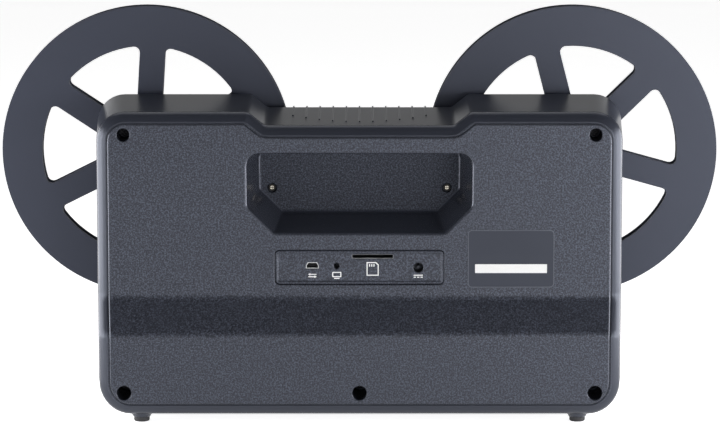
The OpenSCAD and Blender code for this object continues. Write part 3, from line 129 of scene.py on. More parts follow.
# Other textures, in millimetres
FLOW_SIZE = 28.0
SKIN_SIZE = 0.5
SKIN_DEPTH = 0.012
REEL_FLOW_SIZE = 35.0
REEL_SKIN_SIZE = 0.45
REEL_SKIN_DEPTH = 0.02
REEL_EDGE = 0.25
SHELL_EDGE = 0.4
MOULDING_EDGE = 0.2
LABEL_EDGE = 0.1
DUST_SIZE = 1.6
DUST_DEPTH = 0.06
SCRATCH_SIZE = 0.3
SCRATCH_DEPTH = 0.008
FINE_SCRATCH_DEPTH = 0.006
TARNISH_SIZE = 6.0
TRACK_PITCH = 7.0
TRACK_DEPTH = 0.03
SMEAR_SIZE = 14.0
WINDOW_BORDER = 4.0
WINDOW_BLEND = 0.1
COATING_SIZE = 5.0
CLOUD_SIZE = 3.0
OPAL_REACH = 1.5
FIBRE_SIZE = 0.35
FIBRE_DEPTH = 0.15
INK_SIZE = 0.5
INK_DEPTH = 0.01
# Depths into a socket where its painted shade starts and where it is full
SOCKET_SHADE_START = 0.1
SOCKET_SHADE_FULL = 0.8

# Scratches of steel and brass are drawn out along y, as spindles and posts are
DRAWN = (1.0, 0.06, 1.0)
EVEN = (1.0, 1.0, 1.0)

# Shading of the CAD meshes: an angle in degrees and a weld in millimetres
SMOOTH_ANGLE = 34.0
WELD = 0.002

# Printing, in millimetres
PRINT_PROUD = 0.05
PRINT_DEPTH = 0.15
MARK_LINE = 0.6
SMALLEST_R = 0.05
USB_DROP = 6.0
AV_DROP = 5.6
CARD_DROP = 7.4
POWER_DROP = 5.2
CARD_HALF = (3.6, 4.1)
CARD_NOTCH = 1.5
PLATE_SINK = 0.2
LABEL_SIZE = (51.2, 34.5)
LABEL_MIDDLE = (-90.0, 97.7)
LABEL_R = 2.4
LABEL_LINE = 0.5
LABEL_PROUD = 0.12
LABEL_LINE_PROUD = 0.25
LABEL_STRIP = (42.7, 5.3)
LABEL_STRIP_R = 0.3
LABEL_STRIP_DROP = 5.9
LABEL_STRIP_PROUD = 0.18
KEY_LINE = 0.42
KEY_SIGN_R = 1.6
KEY_PROUD = 0.04
KEY_RIM = 0.1
DISH_R = 2.94
DISH_DEPTH = 0.2
SELECTOR_TRAVEL = 8.0
SELECTOR_RISE = 3.0
HOLE_SIZE = (2.6, 2.2)
HOLE_R = 0.4
HOLE_LINE = 0.4

# Linear base colours, and the tint of the gloss
DARK_GREY = (0.020, 0.0222, 0.031)
GRAIN_DARK = (0.006, 0.007, 0.010)
GRAIN_PALE = (0.064, 0.070, 0.094)
# Lighter grey of the label's border, a painted highlight on its raised edge
EDGE_HIGHLIGHT_GREY = (0.075, 0.080, 0.096)
SHELL_GREY = (0.018, 0.020, 0.028)
REEL_SLATE = (0.0140, 0.0162, 0.0270)
BLACK = (0.012, 0.012, 0.014)
WARM_WHITE = (0.56, 0.56, 0.54)
PRINT_WHITE = (0.80, 0.80, 0.80)
RUBBER_BLACK = (0.030, 0.030, 0.033)
STEEL = (0.55, 0.55, 0.56)
BRASS = (0.62, 0.50, 0.30)
OXIDE = (0.015, 0.015, 0.017)
PLATING = (0.42, 0.43, 0.44)
SOCKET_SHADE = (0.012, 0.012, 0.013)
SCREW_PALE = (0.62, 0.58, 0.50)
SCREW_PAINTED_SHADE = (0.020, 0.019, 0.018)
SOLDER_MASK = (0.020, 0.130, 0.062)
WINDOW_BLACK = (0.005, 0.005, 0.006)
WINDOW_BLUE = (0.014, 0.017, 0.024)
DISPLAY_GREY = (0.030, 0.035, 0.045)
LENS_BLUE = (0.55, 0.62, 0.80)
OPAL_WHITE = (0.83, 0.83, 0.81)
FELT_GREY = (0.12, 0.11, 0.10)
COOL_GLOSS = (0.80, 0.85, 1.0, 1.0)


class Finish:
    """Node tree of one material, with short calls for the nodes that the finishes use."""

    def __init__(self, name, colour, roughness, metallic=0.0):
        self.material = bpy.data.materials.new(name)
        self.material.use_nodes = True
        self.tree = self.material.node_tree
        self.shader = self.tree.nodes["Principled BSDF"]
        self.shader.inputs["Base Color"].default_value = (*colour, 1.0)
        self.shader.inputs["Roughness"].default_value = roughness
        self.shader.inputs["Metallic"].default_value = metallic
        self.colour = colour
        self.place = self.add("ShaderNodeTexCoord").outputs["Object"]

    def add(self, kind, **settings):
        """A new node with some settings of its own."""
        node = self.tree.nodes.new(kind)
        for key, value in settings.items():
            setattr(node, key, value)
        return node

    def feed(self, socket, value):
        """Links an output to a socket, or sets the socket's own value."""
        if isinstance(value, bpy.types.NodeSocket):
            self.tree.links.new(value, socket)
        else:
            socket.default_value = value

    def set(self, name, value):
        """Feeds an input of the surface shader."""
        self.feed(self.shader.inputs[name], value)

    def math(self, operation, a, b=0.0):
        """One sum of one or two values."""
        node = self.add("ShaderNodeMath", operation=operation)
        self.feed(node.inputs[0], a)
        self.feed(node.inputs[1], b)
        return node.outputs[0]

    def length(self, a, b):
        """Length of the flat vector of two parts."""
        squares = [self.math("POWER", part, 2.0) for part in (a, b)]
        return self.math("SQRT", self.math("ADD", *squares))

    def axis(self, name):
        """X, Y or Z of the place, in metres."""
        node = self.add("ShaderNodeSeparateXYZ")
        self.feed(node.inputs[0], self.place)
        return node.outputs[name]

    def stretched(self, scale):
        """The place, scaled along each axis."""
        node = self.add("ShaderNodeMapping")
        self.feed(node.inputs["Vector"], self.place)
        node.inputs["Scale"].default_value = scale
        return node.outputs["Vector"]

    def noise(self, size_mm, detail=2.0, rough=0.5, place=None):
        """Noise whose blotches are about size_mm across."""
        node = self.add("ShaderNodeTexNoise")
        self.feed(node.inputs["Vector"], place or self.place)
        node.inputs["Scale"].default_value = 1.0 / (size_mm * MM)
        node.inputs["Detail"].default_value = detail
        node.inputs["Roughness"].default_value = rough
        return node.outputs["Fac"]

    def ramp(self, value, low, high, out_low=0.0, out_high=1.0):
        """Maps a value from one range to another, clamped at both ends."""
        node = self.add("ShaderNodeMapRange", clamp=True)
        self.feed(node.inputs["Value"], value)
        node.inputs["From Min"].default_value = low
        node.inputs["From Max"].default_value = high
        node.inputs["To Min"].default_value = out_low
        node.inputs["To Max"].default_value = out_high
        return node.outputs["Result"]

    def between(self, share, low, high):
        """A value that goes from low to high as a share goes from 0 to 1."""
        return self.ramp(share, 0.0, 1.0, low, high)

    def mix(self, share, a, b):
        """A colour between two others."""
        node = self.add("ShaderNodeMix", data_type="RGBA")
        self.feed(node.inputs["Factor"], share)
        self.feed(node.inputs["A"], (*a, 1.0))
        self.feed(node.inputs["B"], (*b, 1.0))
        return node.outputs["Result"]

    def vary_colour(self, share, spread):
        """Base colour that wanders between a darker and a lighter tone of itself."""
        dark = tuple(c * (1.0 - spread) for c in self.colour)
        light = tuple(c * (1.0 + spread) for c in self.colour)
        self.set("Base Color", self.mix(share, dark, light))

    def soft_edges(self, radius_mm):
        """Normals as if every edge had a small radius."""
        node = self.add("ShaderNodeBevel", samples=6)
        node.inputs["Radius"].default_value = radius_mm * MM
        return node.outputs["Normal"]

    def relief(self, height, depth_mm, strength, normal=None):
        """Bump of a depth, on the normals that are given."""
        node = self.add("ShaderNodeBump")
        self.feed(node.inputs["Height"], height)
        self.feed(node.inputs["Strength"], strength)
        node.inputs["Distance"].default_value = depth_mm * MM
        if normal:
            self.feed(node.inputs["Normal"], normal)
        self.set("Normal", node.outputs["Normal"])

    def scratch(self, low, high, depth_mm, place=None):
        """Fine scratches, in a roughness from low to high and in a faint relief."""
        scratches = self.noise(SCRATCH_SIZE, detail=3.0, rough=0.7, place=place)
        self.set("Roughness", self.ramp(scratches, NOISE_LOW, NOISE_HIGH, low, high))
        self.relief(scratches, depth_mm, strength=0.7)


def rim_share(finish, node):
    """1 on the bead round the rear cover, 0 on the panel inside it, from the distance to the outline."""
    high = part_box(node)[1]
    radius = CORNER_R * MM
    side = finish.math("ABSOLUTE", finish.axis("X"))
    height = finish.axis("Z")
    dip = finish.ramp(side, DIP_HALF * MM, (DIP_HALF + DIP_SLOPE) * MM, DIP_DEPTH * MM, 0.0)
    past_side = finish.math("SUBTRACT", side, high.x - radius)
    above = finish.math("SUBTRACT", finish.math("ADD", height, dip), high.z - radius)
    below = finish.math("SUBTRACT", FOOT_HEIGHT * MM + radius, height)
    past_end = finish.math("MAXIMUM", above, below)
    outer = finish.length(finish.math("MAXIMUM", past_side, 0.0), finish.math("MAXIMUM", past_end, 0.0))
    inner = finish.math("MINIMUM", finish.math("MAXIMUM", past_side, past_end), 0.0)
    distance = finish.math("SUBTRACT", finish.math("ADD", outer, inner), radius)
    edge = -RIM_WIDTH * MM
    return finish.ramp(distance, edge - RIM_BLEND * MM, edge + RIM_BLEND * MM)


def grained_plastic(name, rim_of=None):
    """Spark-eroded moulding with pale sparks on faces to the rear, smooth on the bead and on edges."""
    finish = Finish(name, DARK_GREY, PANEL_ROUGHNESS)
    coarse = finish.math("MULTIPLY", finish.noise(GRAIN_COARSE, detail=2.0, rough=0.6), COARSE_SHARE)
    fine = finish.math("MULTIPLY", finish.noise(GRAIN_FINE, detail=1.0, rough=0.6), 1.0 - COARSE_SHARE)
    grain = finish.math("ADD", coarse, fine)
    edges = finish.soft_edges(EDGE_R)
    facing = finish.add("ShaderNodeSeparateXYZ")
    finish.feed(facing.inputs[0], edges)
    panel = finish.ramp(facing.outputs["Y"], ROUND_FROM, FLAT_FROM)
    lips = finish.math("SUBTRACT", 1.0, panel)
    if rim_of:
        inside = finish.math("SUBTRACT", 1.0, rim_share(finish, rim_of))
        panel = finish.math("MULTIPLY", panel, inside)
        lips = finish.math("MULTIPLY", lips, inside)
    sparks = finish.math("SUBTRACT", finish.ramp(grain, SPARK_FROM, SPARK_FULL), PLAIN_SHARE)
    pale = finish.math("ADD", finish.math("MULTIPLY", panel, sparks), PLAIN_SHARE)
    finish.set("Base Color", finish.mix(pale, GRAIN_DARK, GRAIN_PALE))
    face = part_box("port_plate")[1].y
    deep = finish.ramp(finish.axis("Y"), face - DEEP_END * MM, face - DEEP_START * MM, DEEP_ROUGHNESS, 0.0)
    even = finish.between(panel, BEAD_ROUGHNESS, PANEL_ROUGHNESS)
    finish.set("Roughness", finish.math("ADD", even, finish.math("MULTIPLY", deep, panel)))
    finish.set("Specular IOR Level", finish.between(lips, PANEL_GLOSS, EDGE_GLOSS))
    finish.set("Specular Tint", COOL_GLOSS)
    finish.relief(grain, GRAIN_DEPTH, finish.between(panel, BEAD_RELIEF, PANEL_RELIEF), edges)
    return finish.material


def smooth_plastic(name, colour, roughness, edge_mm):
    """Semi-gloss moulding with faint flow variation and a very fine skin."""
    finish = Finish(name, colour, roughness)
    skin = finish.noise(SKIN_SIZE, detail=2.0, rough=0.6)
    finish.vary_colour(finish.noise(FLOW_SIZE, detail=3.0), spread=0.10)
    finish.set("Specular IOR Level", SHELL_GLOSS)
    finish.set("Specular Tint", COOL_GLOSS)
    finish.relief(skin, SKIN_DEPTH, strength=0.8, normal=finish.soft_edges(edge_mm))
    return finish.material


def reel_plastic(name):
    """Satin slate moulding of the reels."""
    finish = Finish(name, REEL_SLATE, roughness=0.42)
    skin = finish.noise(REEL_SKIN_SIZE, detail=2.0, rough=0.65)
    finish.vary_colour(finish.noise(REEL_FLOW_SIZE, detail=2.0), spread=0.08)
    finish.set("Specular Tint", COOL_GLOSS)
    finish.set("Roughness", finish.ramp(skin, NOISE_LOW, NOISE_HIGH, out_low=0.38, out_high=0.48))
    finish.relief(skin, REEL_SKIN_DEPTH, strength=0.8, normal=finish.soft_edges(REEL_EDGE))
    return finish.material


def rubber(name):
    """Dull black rubber with a little dust."""
    finish = Finish(name, RUBBER_BLACK, roughness=0.75)
    dust = finish.noise(DUST_SIZE, detail=4.0)
    finish.vary_colour(dust, spread=0.25)
    finish.relief(dust, DUST_DEPTH, strength=0.6)
    return finish.material


def metal(name, colour, roughness, stretch):
    """Bare metal with scratches, drawn out by a stretch, and a worn tone."""
    finish = Finish(name, colour, roughness, metallic=1.0)
    finish.vary_colour(finish.noise(TARNISH_SIZE, detail=3.0), spread=0.10)
    finish.scratch(roughness - POLISH, roughness + WEAR, SCRATCH_DEPTH, finish.stretched(stretch))
    return finish.material


def socket_metal_painted_shade(name, node):
    """Plated shell of a socket, bright at its mouth and dark inside with painted shade."""
    finish = Finish(name, PLATING, roughness=0.35, metallic=1.0)
    depth = finish.math("SUBTRACT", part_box(node)[1].y, finish.axis("Y"))
    # Painted shade: the plating darkens with depth into the socket
    shade = finish.ramp(depth, SOCKET_SHADE_START * MM, SOCKET_SHADE_FULL * MM)
    finish.set("Base Color", finish.mix(shade, PLATING, SOCKET_SHADE))
    finish.scratch(PLATED_SMOOTH, PLATED_ROUGH, FINE_SCRATCH_DEPTH)
    return finish.material


def screws_painted_shade(name, node):
    """Screw heads bright in the middle, with painted shade that darkens their outer part and the cross of
    the drive.
    """
    finish = Finish(name, SCREW_PALE, roughness=0.35, metallic=1.0)
    low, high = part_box(node)
    head_r = (high.z - low.z) / 2.0
    across = finish.math("SUBTRACT", finish.math("ABSOLUTE", finish.axis("X")), high.x - head_r)
    upright = finish.math("SUBTRACT", finish.axis("Z"), low.z + head_r)
    cross = finish.math("MINIMUM", finish.math("ABSOLUTE", across), finish.math("ABSOLUTE", upright))
    # Painted shade: the head darkens past its middle and along the cross of the drive
    middle = finish.ramp(finish.length(across, upright), SHADE_START_R * head_r, SHADE_FULL_R * head_r, 1.0, 0.0)
    pale = finish.math("MULTIPLY", middle, finish.ramp(cross, CROSS_HALF * head_r, CROSS_END * head_r))
    finish.set("Base Color", finish.mix(pale, SCREW_PAINTED_SHADE, SCREW_PALE))
    finish.scratch(PLATED_SMOOTH, PLATED_ROUGH, FINE_SCRATCH_DEPTH)
    return finish.material


def circuit_board(name):
    """Solder mask over raised tracks, which show in a lighter green."""
    finish = Finish(name, SOLDER_MASK, roughness=0.35)
    tracks = finish.add("ShaderNodeTexBrick")
    finish.feed(tracks.inputs["Vector"], finish.place)
    tracks.inputs["Scale"].default_value = 1.0 / (TRACK_PITCH * MM)
    tracks.inputs["Mortar Size"].default_value = TRACK_WIDTH
    finish.vary_colour(tracks.outputs["Fac"], spread=0.25)
    finish.relief(tracks.outputs["Fac"], TRACK_DEPTH, strength=0.6)
    return finish.material


def dark_window(name):
    """Tinted window: black border, and a slightly bluish area where the display lies behind it."""
    finish = Finish(name, WINDOW_BLACK, roughness=0.08)
    low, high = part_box("display_module")
    middle = (low + high) / 2.0
    half = (high - low) / 2.0

    def within(axis, centre, reach):
        away = finish.math("ABSOLUTE", finish.math("SUBTRACT", finish.axis(axis), centre))
        edge = reach - WINDOW_BORDER * MM
        return finish.ramp(away, edge, edge + WINDOW_BLEND * MM, 1.0, 0.0)

    active = finish.math("MULTIPLY", within("X", middle.x, half.x), within("Z", middle.z, half.z))
    finish.set("Base Color", finish.mix(active, WINDOW_BLACK, WINDOW_BLUE))
    smears = finish.noise(SMEAR_SIZE, detail=4.0)
    finish.set("Roughness", finish.ramp(smears, low=0.35, high=0.75, out_low=0.05, out_high=0.14))
    finish.set("Coat Weight", 0.5)
    return finish.material


def lens_coating(name):
    """Clear glass with a faint blue coating."""
    finish = Finish(name, LENS_BLUE, roughness=0.03)
    finish.set("Transmission Weight", 0.9)
    finish.set("IOR", 1.52)
    finish.vary_colour(finish.noise(COATING_SIZE), spread=0.08)
    return finish.material


def opal(name):
    """Cloudy white plastic that light sinks into."""
    finish = Finish(name, OPAL_WHITE, roughness=0.45)
    finish.vary_colour(finish.noise(CLOUD_SIZE, detail=2.0), spread=0.03)
    finish.set("Subsurface Weight", 0.3)
    finish.set("Subsurface Radius", [OPAL_REACH * MM] * 3)
    return finish.material


def felt(name):
    """Pressed grey fibres."""
    finish = Finish(name, FELT_GREY, roughness=0.95)
    fibres = finish.noise(FIBRE_SIZE, detail=5.0, rough=0.75)
    finish.vary_colour(fibres, spread=0.35)
    finish.set("Sheen Weight", 0.4)
    finish.relief(fibres, FIBRE_DEPTH, strength=0.9)
    return finish.material


def print_ink(name, colour):
    """Pad-printed ink that covers a little unevenly."""
    finish = Finish(name, colour, roughness=0.5)
    wear = finish.noise(INK_SIZE, detail=3.0)
    finish.vary_colour(wear, spread=0.08)
    finish.relief(wear, INK_DEPTH, strength=0.5)
    return finish.material


FINISHES = {
    "housing": smooth_plastic("housing_smooth", SHELL_GREY, roughness=0.30, edge_mm=SHELL_EDGE),
    "reel": reel_plastic("reel_satin"),
    "rubber": rubber("foot_rubber"),
    "steel": metal("satin_steel", STEEL, roughness=0.34, stretch=DRAWN),
    "brass": metal("turned_brass", BRASS, roughness=0.32, stretch=DRAWN),
    "board": circuit_board("solder_mask"),
    "black_plastic": smooth_plastic("black_moulding", BLACK, roughness=0.36, edge_mm=MOULDING_EDGE),
    "window": dark_window("display_glass"),
    "display": smooth_plastic("display_back", DISPLAY_GREY, roughness=0.2, edge_mm=SHELL_EDGE),
    "lens": lens_coating("lens_coating"),
    "diffuser": opal("opal_diffuser"),
    "white_plastic": smooth_plastic("white_moulding", WARM_WHITE, roughness=0.38, edge_mm=MOULDING_EDGE),
    "felt": felt("drag_felt"),
}
OWN_FINISHES = {
    "rear_cover": grained_plastic("rear_cover_grain", rim_of="rear_cover"),
    "port_plate": grained_plastic("port_plate_grain"),
    "cover_screws": metal("black_oxide", OXIDE, roughness=0.45, stretch=EVEN),
    "recess_screws": screws_painted_shade("screws_painted_shade", "recess_screws"),
    "usb_socket": socket_metal_painted_shade("usb_metal_painted_shade", "usb_socket"),
    "card_socket": socket_metal_painted_shade("card_metal_painted_shade", "card_socket"),
}
INK = print_ink("white_ink", PRINT_WHITE)
LABEL_SKIN = smooth_plastic("label_skin", DARK_GREY, roughness=0.38, edge_mm=LABEL_EDGE)
# The label's border is a lighter grey: a painted highlight on its raised edge
LABEL_RIM_HIGHLIGHT = smooth_plastic("label_edge_painted_highlight", EDGE_HIGHLIGHT_GREY, roughness=0.38, edge_mm=LABEL_EDGE)


def smoothing_group(limit_deg):
    """Geometry nodes that join split corners and shade smooth, with edges past an angle kept sharp."""
    group = bpy.data.node_groups.new("smooth_by_angle", "GeometryNodeTree")
    group.interface.new_socket("Geometry", in_out="INPUT", socket_type="NodeSocketGeometry")
    group.interface.new_socket("Geometry", in_out="OUTPUT", socket_type="NodeSocketGeometry")
    add = group.nodes.new
    entry = add("NodeGroupInput")
    strip = add("GeometryNodeRemoveAttribute")
    strip.inputs["Name"].default_value = "custom_normal"
    weld = add("GeometryNodeMergeByDistance")
    weld.inputs["Distance"].default_value = WELD * MM
    faces = add("GeometryNodeSetShadeSmooth")
    faces.domain = "FACE"
    edges = add("GeometryNodeSetShadeSmooth")
    edges.domain = "EDGE"
    angle = add("GeometryNodeInputMeshEdgeAngle")
    soft = add("FunctionNodeCompare")
    soft.operation = "LESS_THAN"
    soft.inputs["B"].default_value = math.radians(limit_deg)
    leave = add("NodeGroupOutput")
    link = group.links.new
    link(entry.outputs["Geometry"], strip.inputs["Geometry"])
    link(strip.outputs["Geometry"], weld.inputs["Geometry"])
    link(weld.outputs["Geometry"], faces.inputs["Geometry"])
    link(faces.outputs["Geometry"], edges.inputs["Geometry"])
    link(angle.outputs["Unsigned Angle"], soft.inputs["A"])
    link(soft.outputs["Result"], edges.inputs["Shade Smooth"])
    link(edges.outputs["Geometry"], leave.inputs["Geometry"])
    return group


SMOOTHING = smoothing_group(SMOOTH_ANGLE)


def dress(node, slot):
    """Gives a CAD node its finish, and smooth shading that leaves flat faces flat."""
    piece = frame["nodes"][node]
    piece.data.materials.clear()
    piece.data.materials.append(OWN_FINISHES.get(node, FINISHES[slot]))
    smooth = piece.modifiers.new("smooth", "NODES")
    smooth.node_group = SMOOTHING
    weighted = piece.modifiers.new("weighted", "WEIGHTED_NORMAL")
    weighted.keep_sharp = True


def arc(middle, radius, start_deg, end_deg, steps):
    """Points along an arc, both ends included."""
    turns = [math.radians(start_deg + (end_deg - start_deg) * k / steps) for k in range(steps + 1)]
    return [(middle[0] + radius * math.cos(t), middle[1] + radius * math.sin(t)) for t in turns]


def rounded(width, height, radius, middle=(0.0, 0.0), steps=4):
    """Outline of a rectangle with round corners."""
    loop = []
    for corner, (sx, sz) in enumerate([(1, 1), (-1, 1), (-1, -1), (1, -1)]):
        centre = (middle[0] + sx * (width / 2 - radius), middle[1] + sz * (height / 2 - radius))
        loop += arc(centre, radius, 90 * corner, 90 * corner + 90, steps)
    return loop


def bar(a, b, width):
    """Outline of a straight stroke between two points."""
    along = (Vector(b) - Vector(a)).normalized()
    side = Vector((-along.y, along.x)) * width / 2
    return [tuple(p) for p in (Vector(a) - side, Vector(b) - side, Vector(b) + side, Vector(a) + side)]


def band(outer, inner):
    """A closed stroke between two outlines with as many points."""
    return ("band", outer, inner)


def frame_line(width, height, radius, line, middle=(0.0, 0.0)):
    """A closed stroke along the inside of a rectangle with round corners."""
    outer = rounded(width, height, radius, middle)
    inner = rounded(width - 2 * line, height - 2 * line, max(radius - line, SMALLEST_R), middle)
    return band(outer, inner)


def ring(middle, radius, line, start=0.0, end=360.0, steps=24):
    """A round stroke, closed or open."""
    if end - start >= 360.0:
        last = end - 360.0 / steps
        outer = arc(middle, radius, start, last, steps - 1)
        inner = arc(middle, radius - line, start, last, steps - 1)
        return band(outer, inner)
    return arc(middle, radius, start, end, steps) + arc(middle, radius - line, end, start, steps)


def walls(mesh, loop_a, loop_b):
    """Faces between two closed loops with as many points."""
    count = len(loop_a)
    for k in range(count):
        mesh.faces.new((loop_a[k], loop_a[(k + 1) % count], loop_b[(k + 1) % count], loop_b[k]))


def raised(name, shapes, middle, surface, outward, material, proud=PRINT_PROUD):
    """Thin solid of flat shapes, in millimetres about a middle (x, z), that follows a surface y(x, z)."""
    mesh = bmesh.new()

    def ring_of(loop, lift):
        spots = [(middle[0] + x, middle[1] + z) for x, z in loop]
        return [mesh.verts.new((x * MM, (surface(x, z) + outward * lift) * MM, z * MM)) for x, z in spots]

    for shape in shapes:
        if shape[0] == "band":
            loops = [[ring_of(loop, lift) for lift in (proud, -PRINT_DEPTH)] for loop in shape[1:]]
            (outer_top, outer_low), (inner_top, inner_low) = loops
            walls(mesh, outer_top, inner_top)
            walls(mesh, outer_low, inner_low)
            walls(mesh, outer_top, outer_low)
            walls(mesh, inner_top, inner_low)
        else:
            top = ring_of(shape, proud)
            low = ring_of(shape, -PRINT_DEPTH)
            mesh.faces.new(top)
            mesh.faces.new(low)
            walls(mesh, top, low)
    bmesh.ops.recalc_face_normals(mesh, faces=mesh.faces)
    data = bpy.data.meshes.new(name)
    mesh.to_mesh(data)
    mesh.free()
    data.materials.append(material)
    piece = bpy.data.objects.new(name, data)
    bpy.context.scene.collection.objects.link(piece)
    return piece


def flat_at(y):
    """A surface at the same y all over."""
    return lambda x, z: y


def add_port_marks():
    """Plain white signs under the four ports: arrows, a screen, a card and the direct-current sign."""
    ports = {mount["name"]: Vector(mount["pos_m"]) / MM for mount in frame["record"]["mounts"]}
    line = MARK_LINE
    arrows = [
        bar((-2.4, 0.7), (1.4, 0.7), line),
        [(2.6, 0.7), (1.2, 1.5), (1.2, -0.1)],
        bar((2.4, -0.7), (-1.4, -0.7), line),
        [(-2.6, -0.7), (-1.2, 0.1), (-1.2, -1.5)],
    ]
    screen = [frame_line(5.4, 3.2, 0.5, line, (0.0, 0.4)), bar((-1.6, -1.9), (1.6, -1.9), line)]
    half_w, half_h = CARD_HALF
    card_outer = [
        (half_w, -half_h),
        (half_w, half_h),
        (-half_w + CARD_NOTCH, half_h),
        (-half_w, half_h - CARD_NOTCH),
        (-half_w, -half_h),
    ]
    card_inner = [(x * (1.0 - line / half_w), z * (1.0 - line / half_h)) for x, z in card_outer]
    contacts = [bar((x, 1.4), (x, 2.9), line) for x in (-0.8, 0.5, 1.8)]
    dashes = [bar((x - 0.65, -0.6), (x + 0.65, -0.6), line) for x in (-2.05, 0.0, 2.05)]
    signs = {
        "usb_mark": (arrows, "usb_port", USB_DROP),
        "av_mark": (screen, "av_jack", AV_DROP),
        "card_mark": ([band(card_outer, card_inner)] + contacts, "card_slot", CARD_DROP),
        "power_mark": ([bar((-2.7, 0.6), (2.7, 0.6), line)] + dashes, "power_jack", POWER_DROP),
    }
    for name, (shapes, port, drop) in signs.items():
        middle = (ports[port].x, ports[port].z - drop)
        piece = raised(name, shapes, middle, flat_at(ports[port].y), 1, INK)
        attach(piece, "body")


def add_label():
    """Bare plate where the rear carries its type label, with a border in a lighter grey as a painted
    highlight, and an empty pale strip.
    """
    rear = flat_at(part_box("port_plate")[1].y / MM + PLATE_SINK)
    outline = [rounded(*LABEL_SIZE, LABEL_R)]
    border = [frame_line(*LABEL_SIZE, LABEL_R, LABEL_LINE)]
    blank = [rounded(*LABEL_STRIP, LABEL_STRIP_R)]
    strip_middle = (LABEL_MIDDLE[0], LABEL_MIDDLE[1] - LABEL_STRIP_DROP)
    plate = raised("label_plate", outline, LABEL_MIDDLE, rear, 1, LABEL_SKIN, LABEL_PROUD)
    line = raised("label_border", border, LABEL_MIDDLE, rear, 1, LABEL_RIM_HIGHLIGHT, LABEL_LINE_PROUD)
    strip = raised("label_strip", blank, strip_middle, rear, 1, INK, LABEL_STRIP_PROUD)
    for piece, slot in ((plate, "housing"), (line, "housing"), (strip, "white_plastic")):
        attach(piece, "body")


def key_dish(node):
    """Middle of a key, and the function that gives its dished face as y in millimetres."""
    low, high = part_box(node)
    middle = ((low.x + high.x) / 2 / MM, (low.z + high.z) / 2 / MM)

    def surface(x, z):
        away = math.hypot(x - middle[0], z - middle[1])
        return low.y / MM + KEY_RIM + DISH_DEPTH * max(0.0, 1.0 - away / DISH_R)

    return middle, surface


def add_key_marks():
    """Plain pictograms on the five keys."""
    line = KEY_LINE
    radius = KEY_SIGN_R
    signs = {
        "power": [ring((0.0, -0.1), radius, line, 125.0, 415.0), bar((0.0, 0.2), (0.0, 2.0), line)],
        "back": [bar((1.0, 1.5), (-0.8, 0.0), line), bar((-0.8, 0.0), (1.0, -1.5), line)],
        "up": [[(-radius, -0.9), (radius, -0.9), (0.0, 1.5)]],
        "down": [[(-radius, 0.9), (0.0, -1.5), (radius, 0.9)]],
        "ok": [ring((0.0, 0.0), radius, line)],
    }
    for key, shapes in signs.items():
        middle, surface = key_dish(f"{key}_key")
        piece = raised(f"{key}_mark", shapes, middle, surface, -1, INK, KEY_PROUD)
        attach(piece, f"{key}_key")


def add_selector_marks():
    """An open and a filled sprocket hole above the two stops of the film selector."""
    low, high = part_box("film_selector")
    face = flat_at(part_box("gate_block")[0].y / MM)
    above = high.z / MM + SELECTOR_RISE
    centre = (low.x + high.x) / 2 / MM
    hollow = [frame_line(*HOLE_SIZE, HOLE_R, HOLE_LINE)]
    filled = [rounded(*HOLE_SIZE, HOLE_R)]
    first = raised("selector_mark_1", hollow, (centre, above), face, -1, INK)
    second = raised("selector_mark_2", filled, (centre + SELECTOR_TRAVEL, above), face, -1, INK)
    for piece in (first, second):
        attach(piece, "body")


def aimed(thing, place, target):
    """Puts a camera or lamp in its place, turned towards a target."""
    thing.location = place
    thing.rotation_mode = "QUATERNION"
    thing.rotation_quaternion = (Vector(target) - Vector(place)).to_track_quat("-Z", "Y")
    bpy.context.scene.collection.objects.link(thing)


def add_camera():
    """Camera of the photograph."""
    data = bpy.data.cameras.new("camera")
    data.lens = CAMERA_LENS
    data.sensor_width = SENSOR_WIDTH
    camera = bpy.data.objects.new("camera", data)
    aimed(camera, CAMERA_PLACE, CAMERA_AIM)
    bpy.context.scene.camera = camera


def add_softbox(name, place, size, power, target=LAMP_TARGET):
    """Flat lamp that the camera doesn't see."""
    data = bpy.data.lights.new(name, "AREA")
    data.shape = "RECTANGLE"
    data.size, data.size_y = size
    data.energy = power
    lamp = bpy.data.objects.new(name, data)
    lamp.visible_camera = False
    aimed(lamp, place, target)


def seen_directly(tree):
    """1 for camera, glossy and transmission rays, which see the background as it is painted."""
    rays = tree.nodes.new("ShaderNodeLightPath")
    total = rays.outputs["Is Camera Ray"]
    for name in ("Is Glossy Ray", "Is Transmission Ray"):
        node = tree.nodes.new("ShaderNodeMath")
        node.operation = "MAXIMUM"
        tree.links.new(total, node.inputs[0])
        tree.links.new(rays.outputs[name], node.inputs[1])
        total = node.outputs[0]
    return total


def add_world():
    """White surroundings at eye level that darken overhead, as in a tent with a closed top."""
    world = bpy.data.worlds.new("studio")
    world.use_nodes = True
    tree = world.node_tree
    background = tree.nodes["Background"]
    place = tree.nodes.new("ShaderNodeTexCoord")
    parts = tree.nodes.new("ShaderNodeSeparateXYZ")
    tree.links.new(place.outputs["Generated"], parts.inputs[0])
    fade = tree.nodes.new("ShaderNodeMapRange")
    fade.interpolation_type = "SMOOTHSTEP"
    tree.links.new(parts.outputs["Z"], fade.inputs["Value"])
    fade.inputs["From Min"].default_value = FADE_START
    fade.inputs["From Max"].default_value = FADE_END
    fade.inputs["To Min"].default_value = 1.0
    fade.inputs["To Max"].default_value = OVERHEAD_TONE
    tree.links.new(fade.outputs["Result"], background.inputs["Color"])
    strength = tree.nodes.new("ShaderNodeMapRange")
    tree.links.new(seen_directly(tree), strength.inputs["Value"])
    strength.inputs["To Min"].default_value = WORLD_LIGHT
    strength.inputs["To Max"].default_value = 1.0
    tree.links.new(strength.outputs["Result"], background.inputs["Strength"])
    bpy.context.scene.world = world


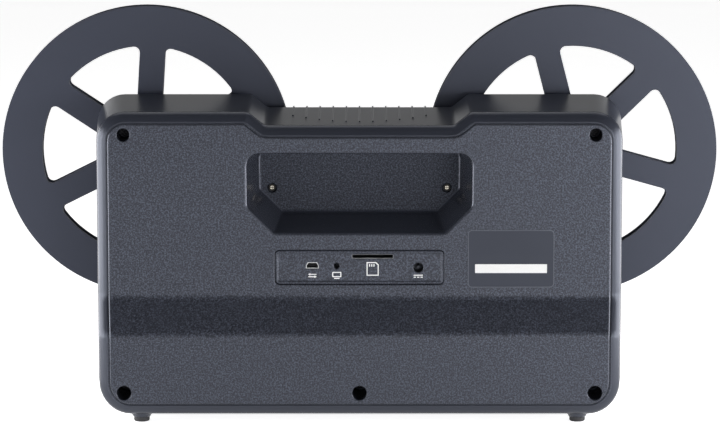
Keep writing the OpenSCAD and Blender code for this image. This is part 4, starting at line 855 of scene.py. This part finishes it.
def add_floor():
    """White floor that keeps a soft shadow of the object."""
    data = bpy.data.meshes.new("floor")
    half = FLOOR_SIZE / 2
    corners = [(-half, -half, 0), (half, -half, 0), (half, half, 0), (-half, half, 0)]
    data.from_pydata(corners, [], [(0, 1, 2, 3)])
    material = bpy.data.materials.new("floor_white")
    material.use_nodes = True
    tree = material.node_tree
    matte = tree.nodes["Principled BSDF"]
    matte.inputs["Base Color"].default_value = (FLOOR_TONE, FLOOR_TONE, FLOOR_TONE, 1.0)
    matte.inputs["Roughness"].default_value = FLOOR_ROUGHNESS
    glow = tree.nodes.new("ShaderNodeEmission")
    share = tree.nodes.new("ShaderNodeMath")
    share.operation = "MULTIPLY"
    tree.links.new(seen_directly(tree), share.inputs[0])
    share.inputs[1].default_value = FLOOR_GLOW
    tree.links.new(share.outputs[0], glow.inputs["Strength"])
    both = tree.nodes.new("ShaderNodeAddShader")
    tree.links.new(matte.outputs[0], both.inputs[0])
    tree.links.new(glow.outputs[0], both.inputs[1])
    tree.links.new(both.outputs[0], tree.nodes["Material Output"].inputs["Surface"])
    data.materials.append(material)
    floor = bpy.data.objects.new("floor", data)
    bpy.context.scene.collection.objects.link(floor)


for subpart in frame["record"]["subparts"]:
    dress(subpart["node"], subpart["material_slot"])
add_port_marks()
add_label()
add_key_marks()
add_selector_marks()

add_camera()
add_world()
add_floor()
for side in (-1, 1):
    place = (side * SOFTBOX_PLACE[0], *SOFTBOX_PLACE[1:])
    add_softbox(f"softbox_{side}", place, SOFTBOX_SIZE, SOFTBOX_POWER, (0.0, *SOFTBOX_PLACE[1:]))
    place = (side * WING_PLACE[0], *WING_PLACE[1:])
    add_softbox(f"wing_{side}", place, WING_SIZE, WING_POWER, (0.0, 0.0, WING_PLACE[2]))
add_softbox("fill", FILL_PLACE, FILL_SIZE, FILL_POWER)
add_softbox("key", KEY_LAMP_PLACE, KEY_LAMP_SIZE, KEY_LAMP_POWER)
add_softbox("top", TOP_PLACE, TOP_SIZE, TOP_POWER)
bpy.context.scene.view_settings.view_transform = "Standard"
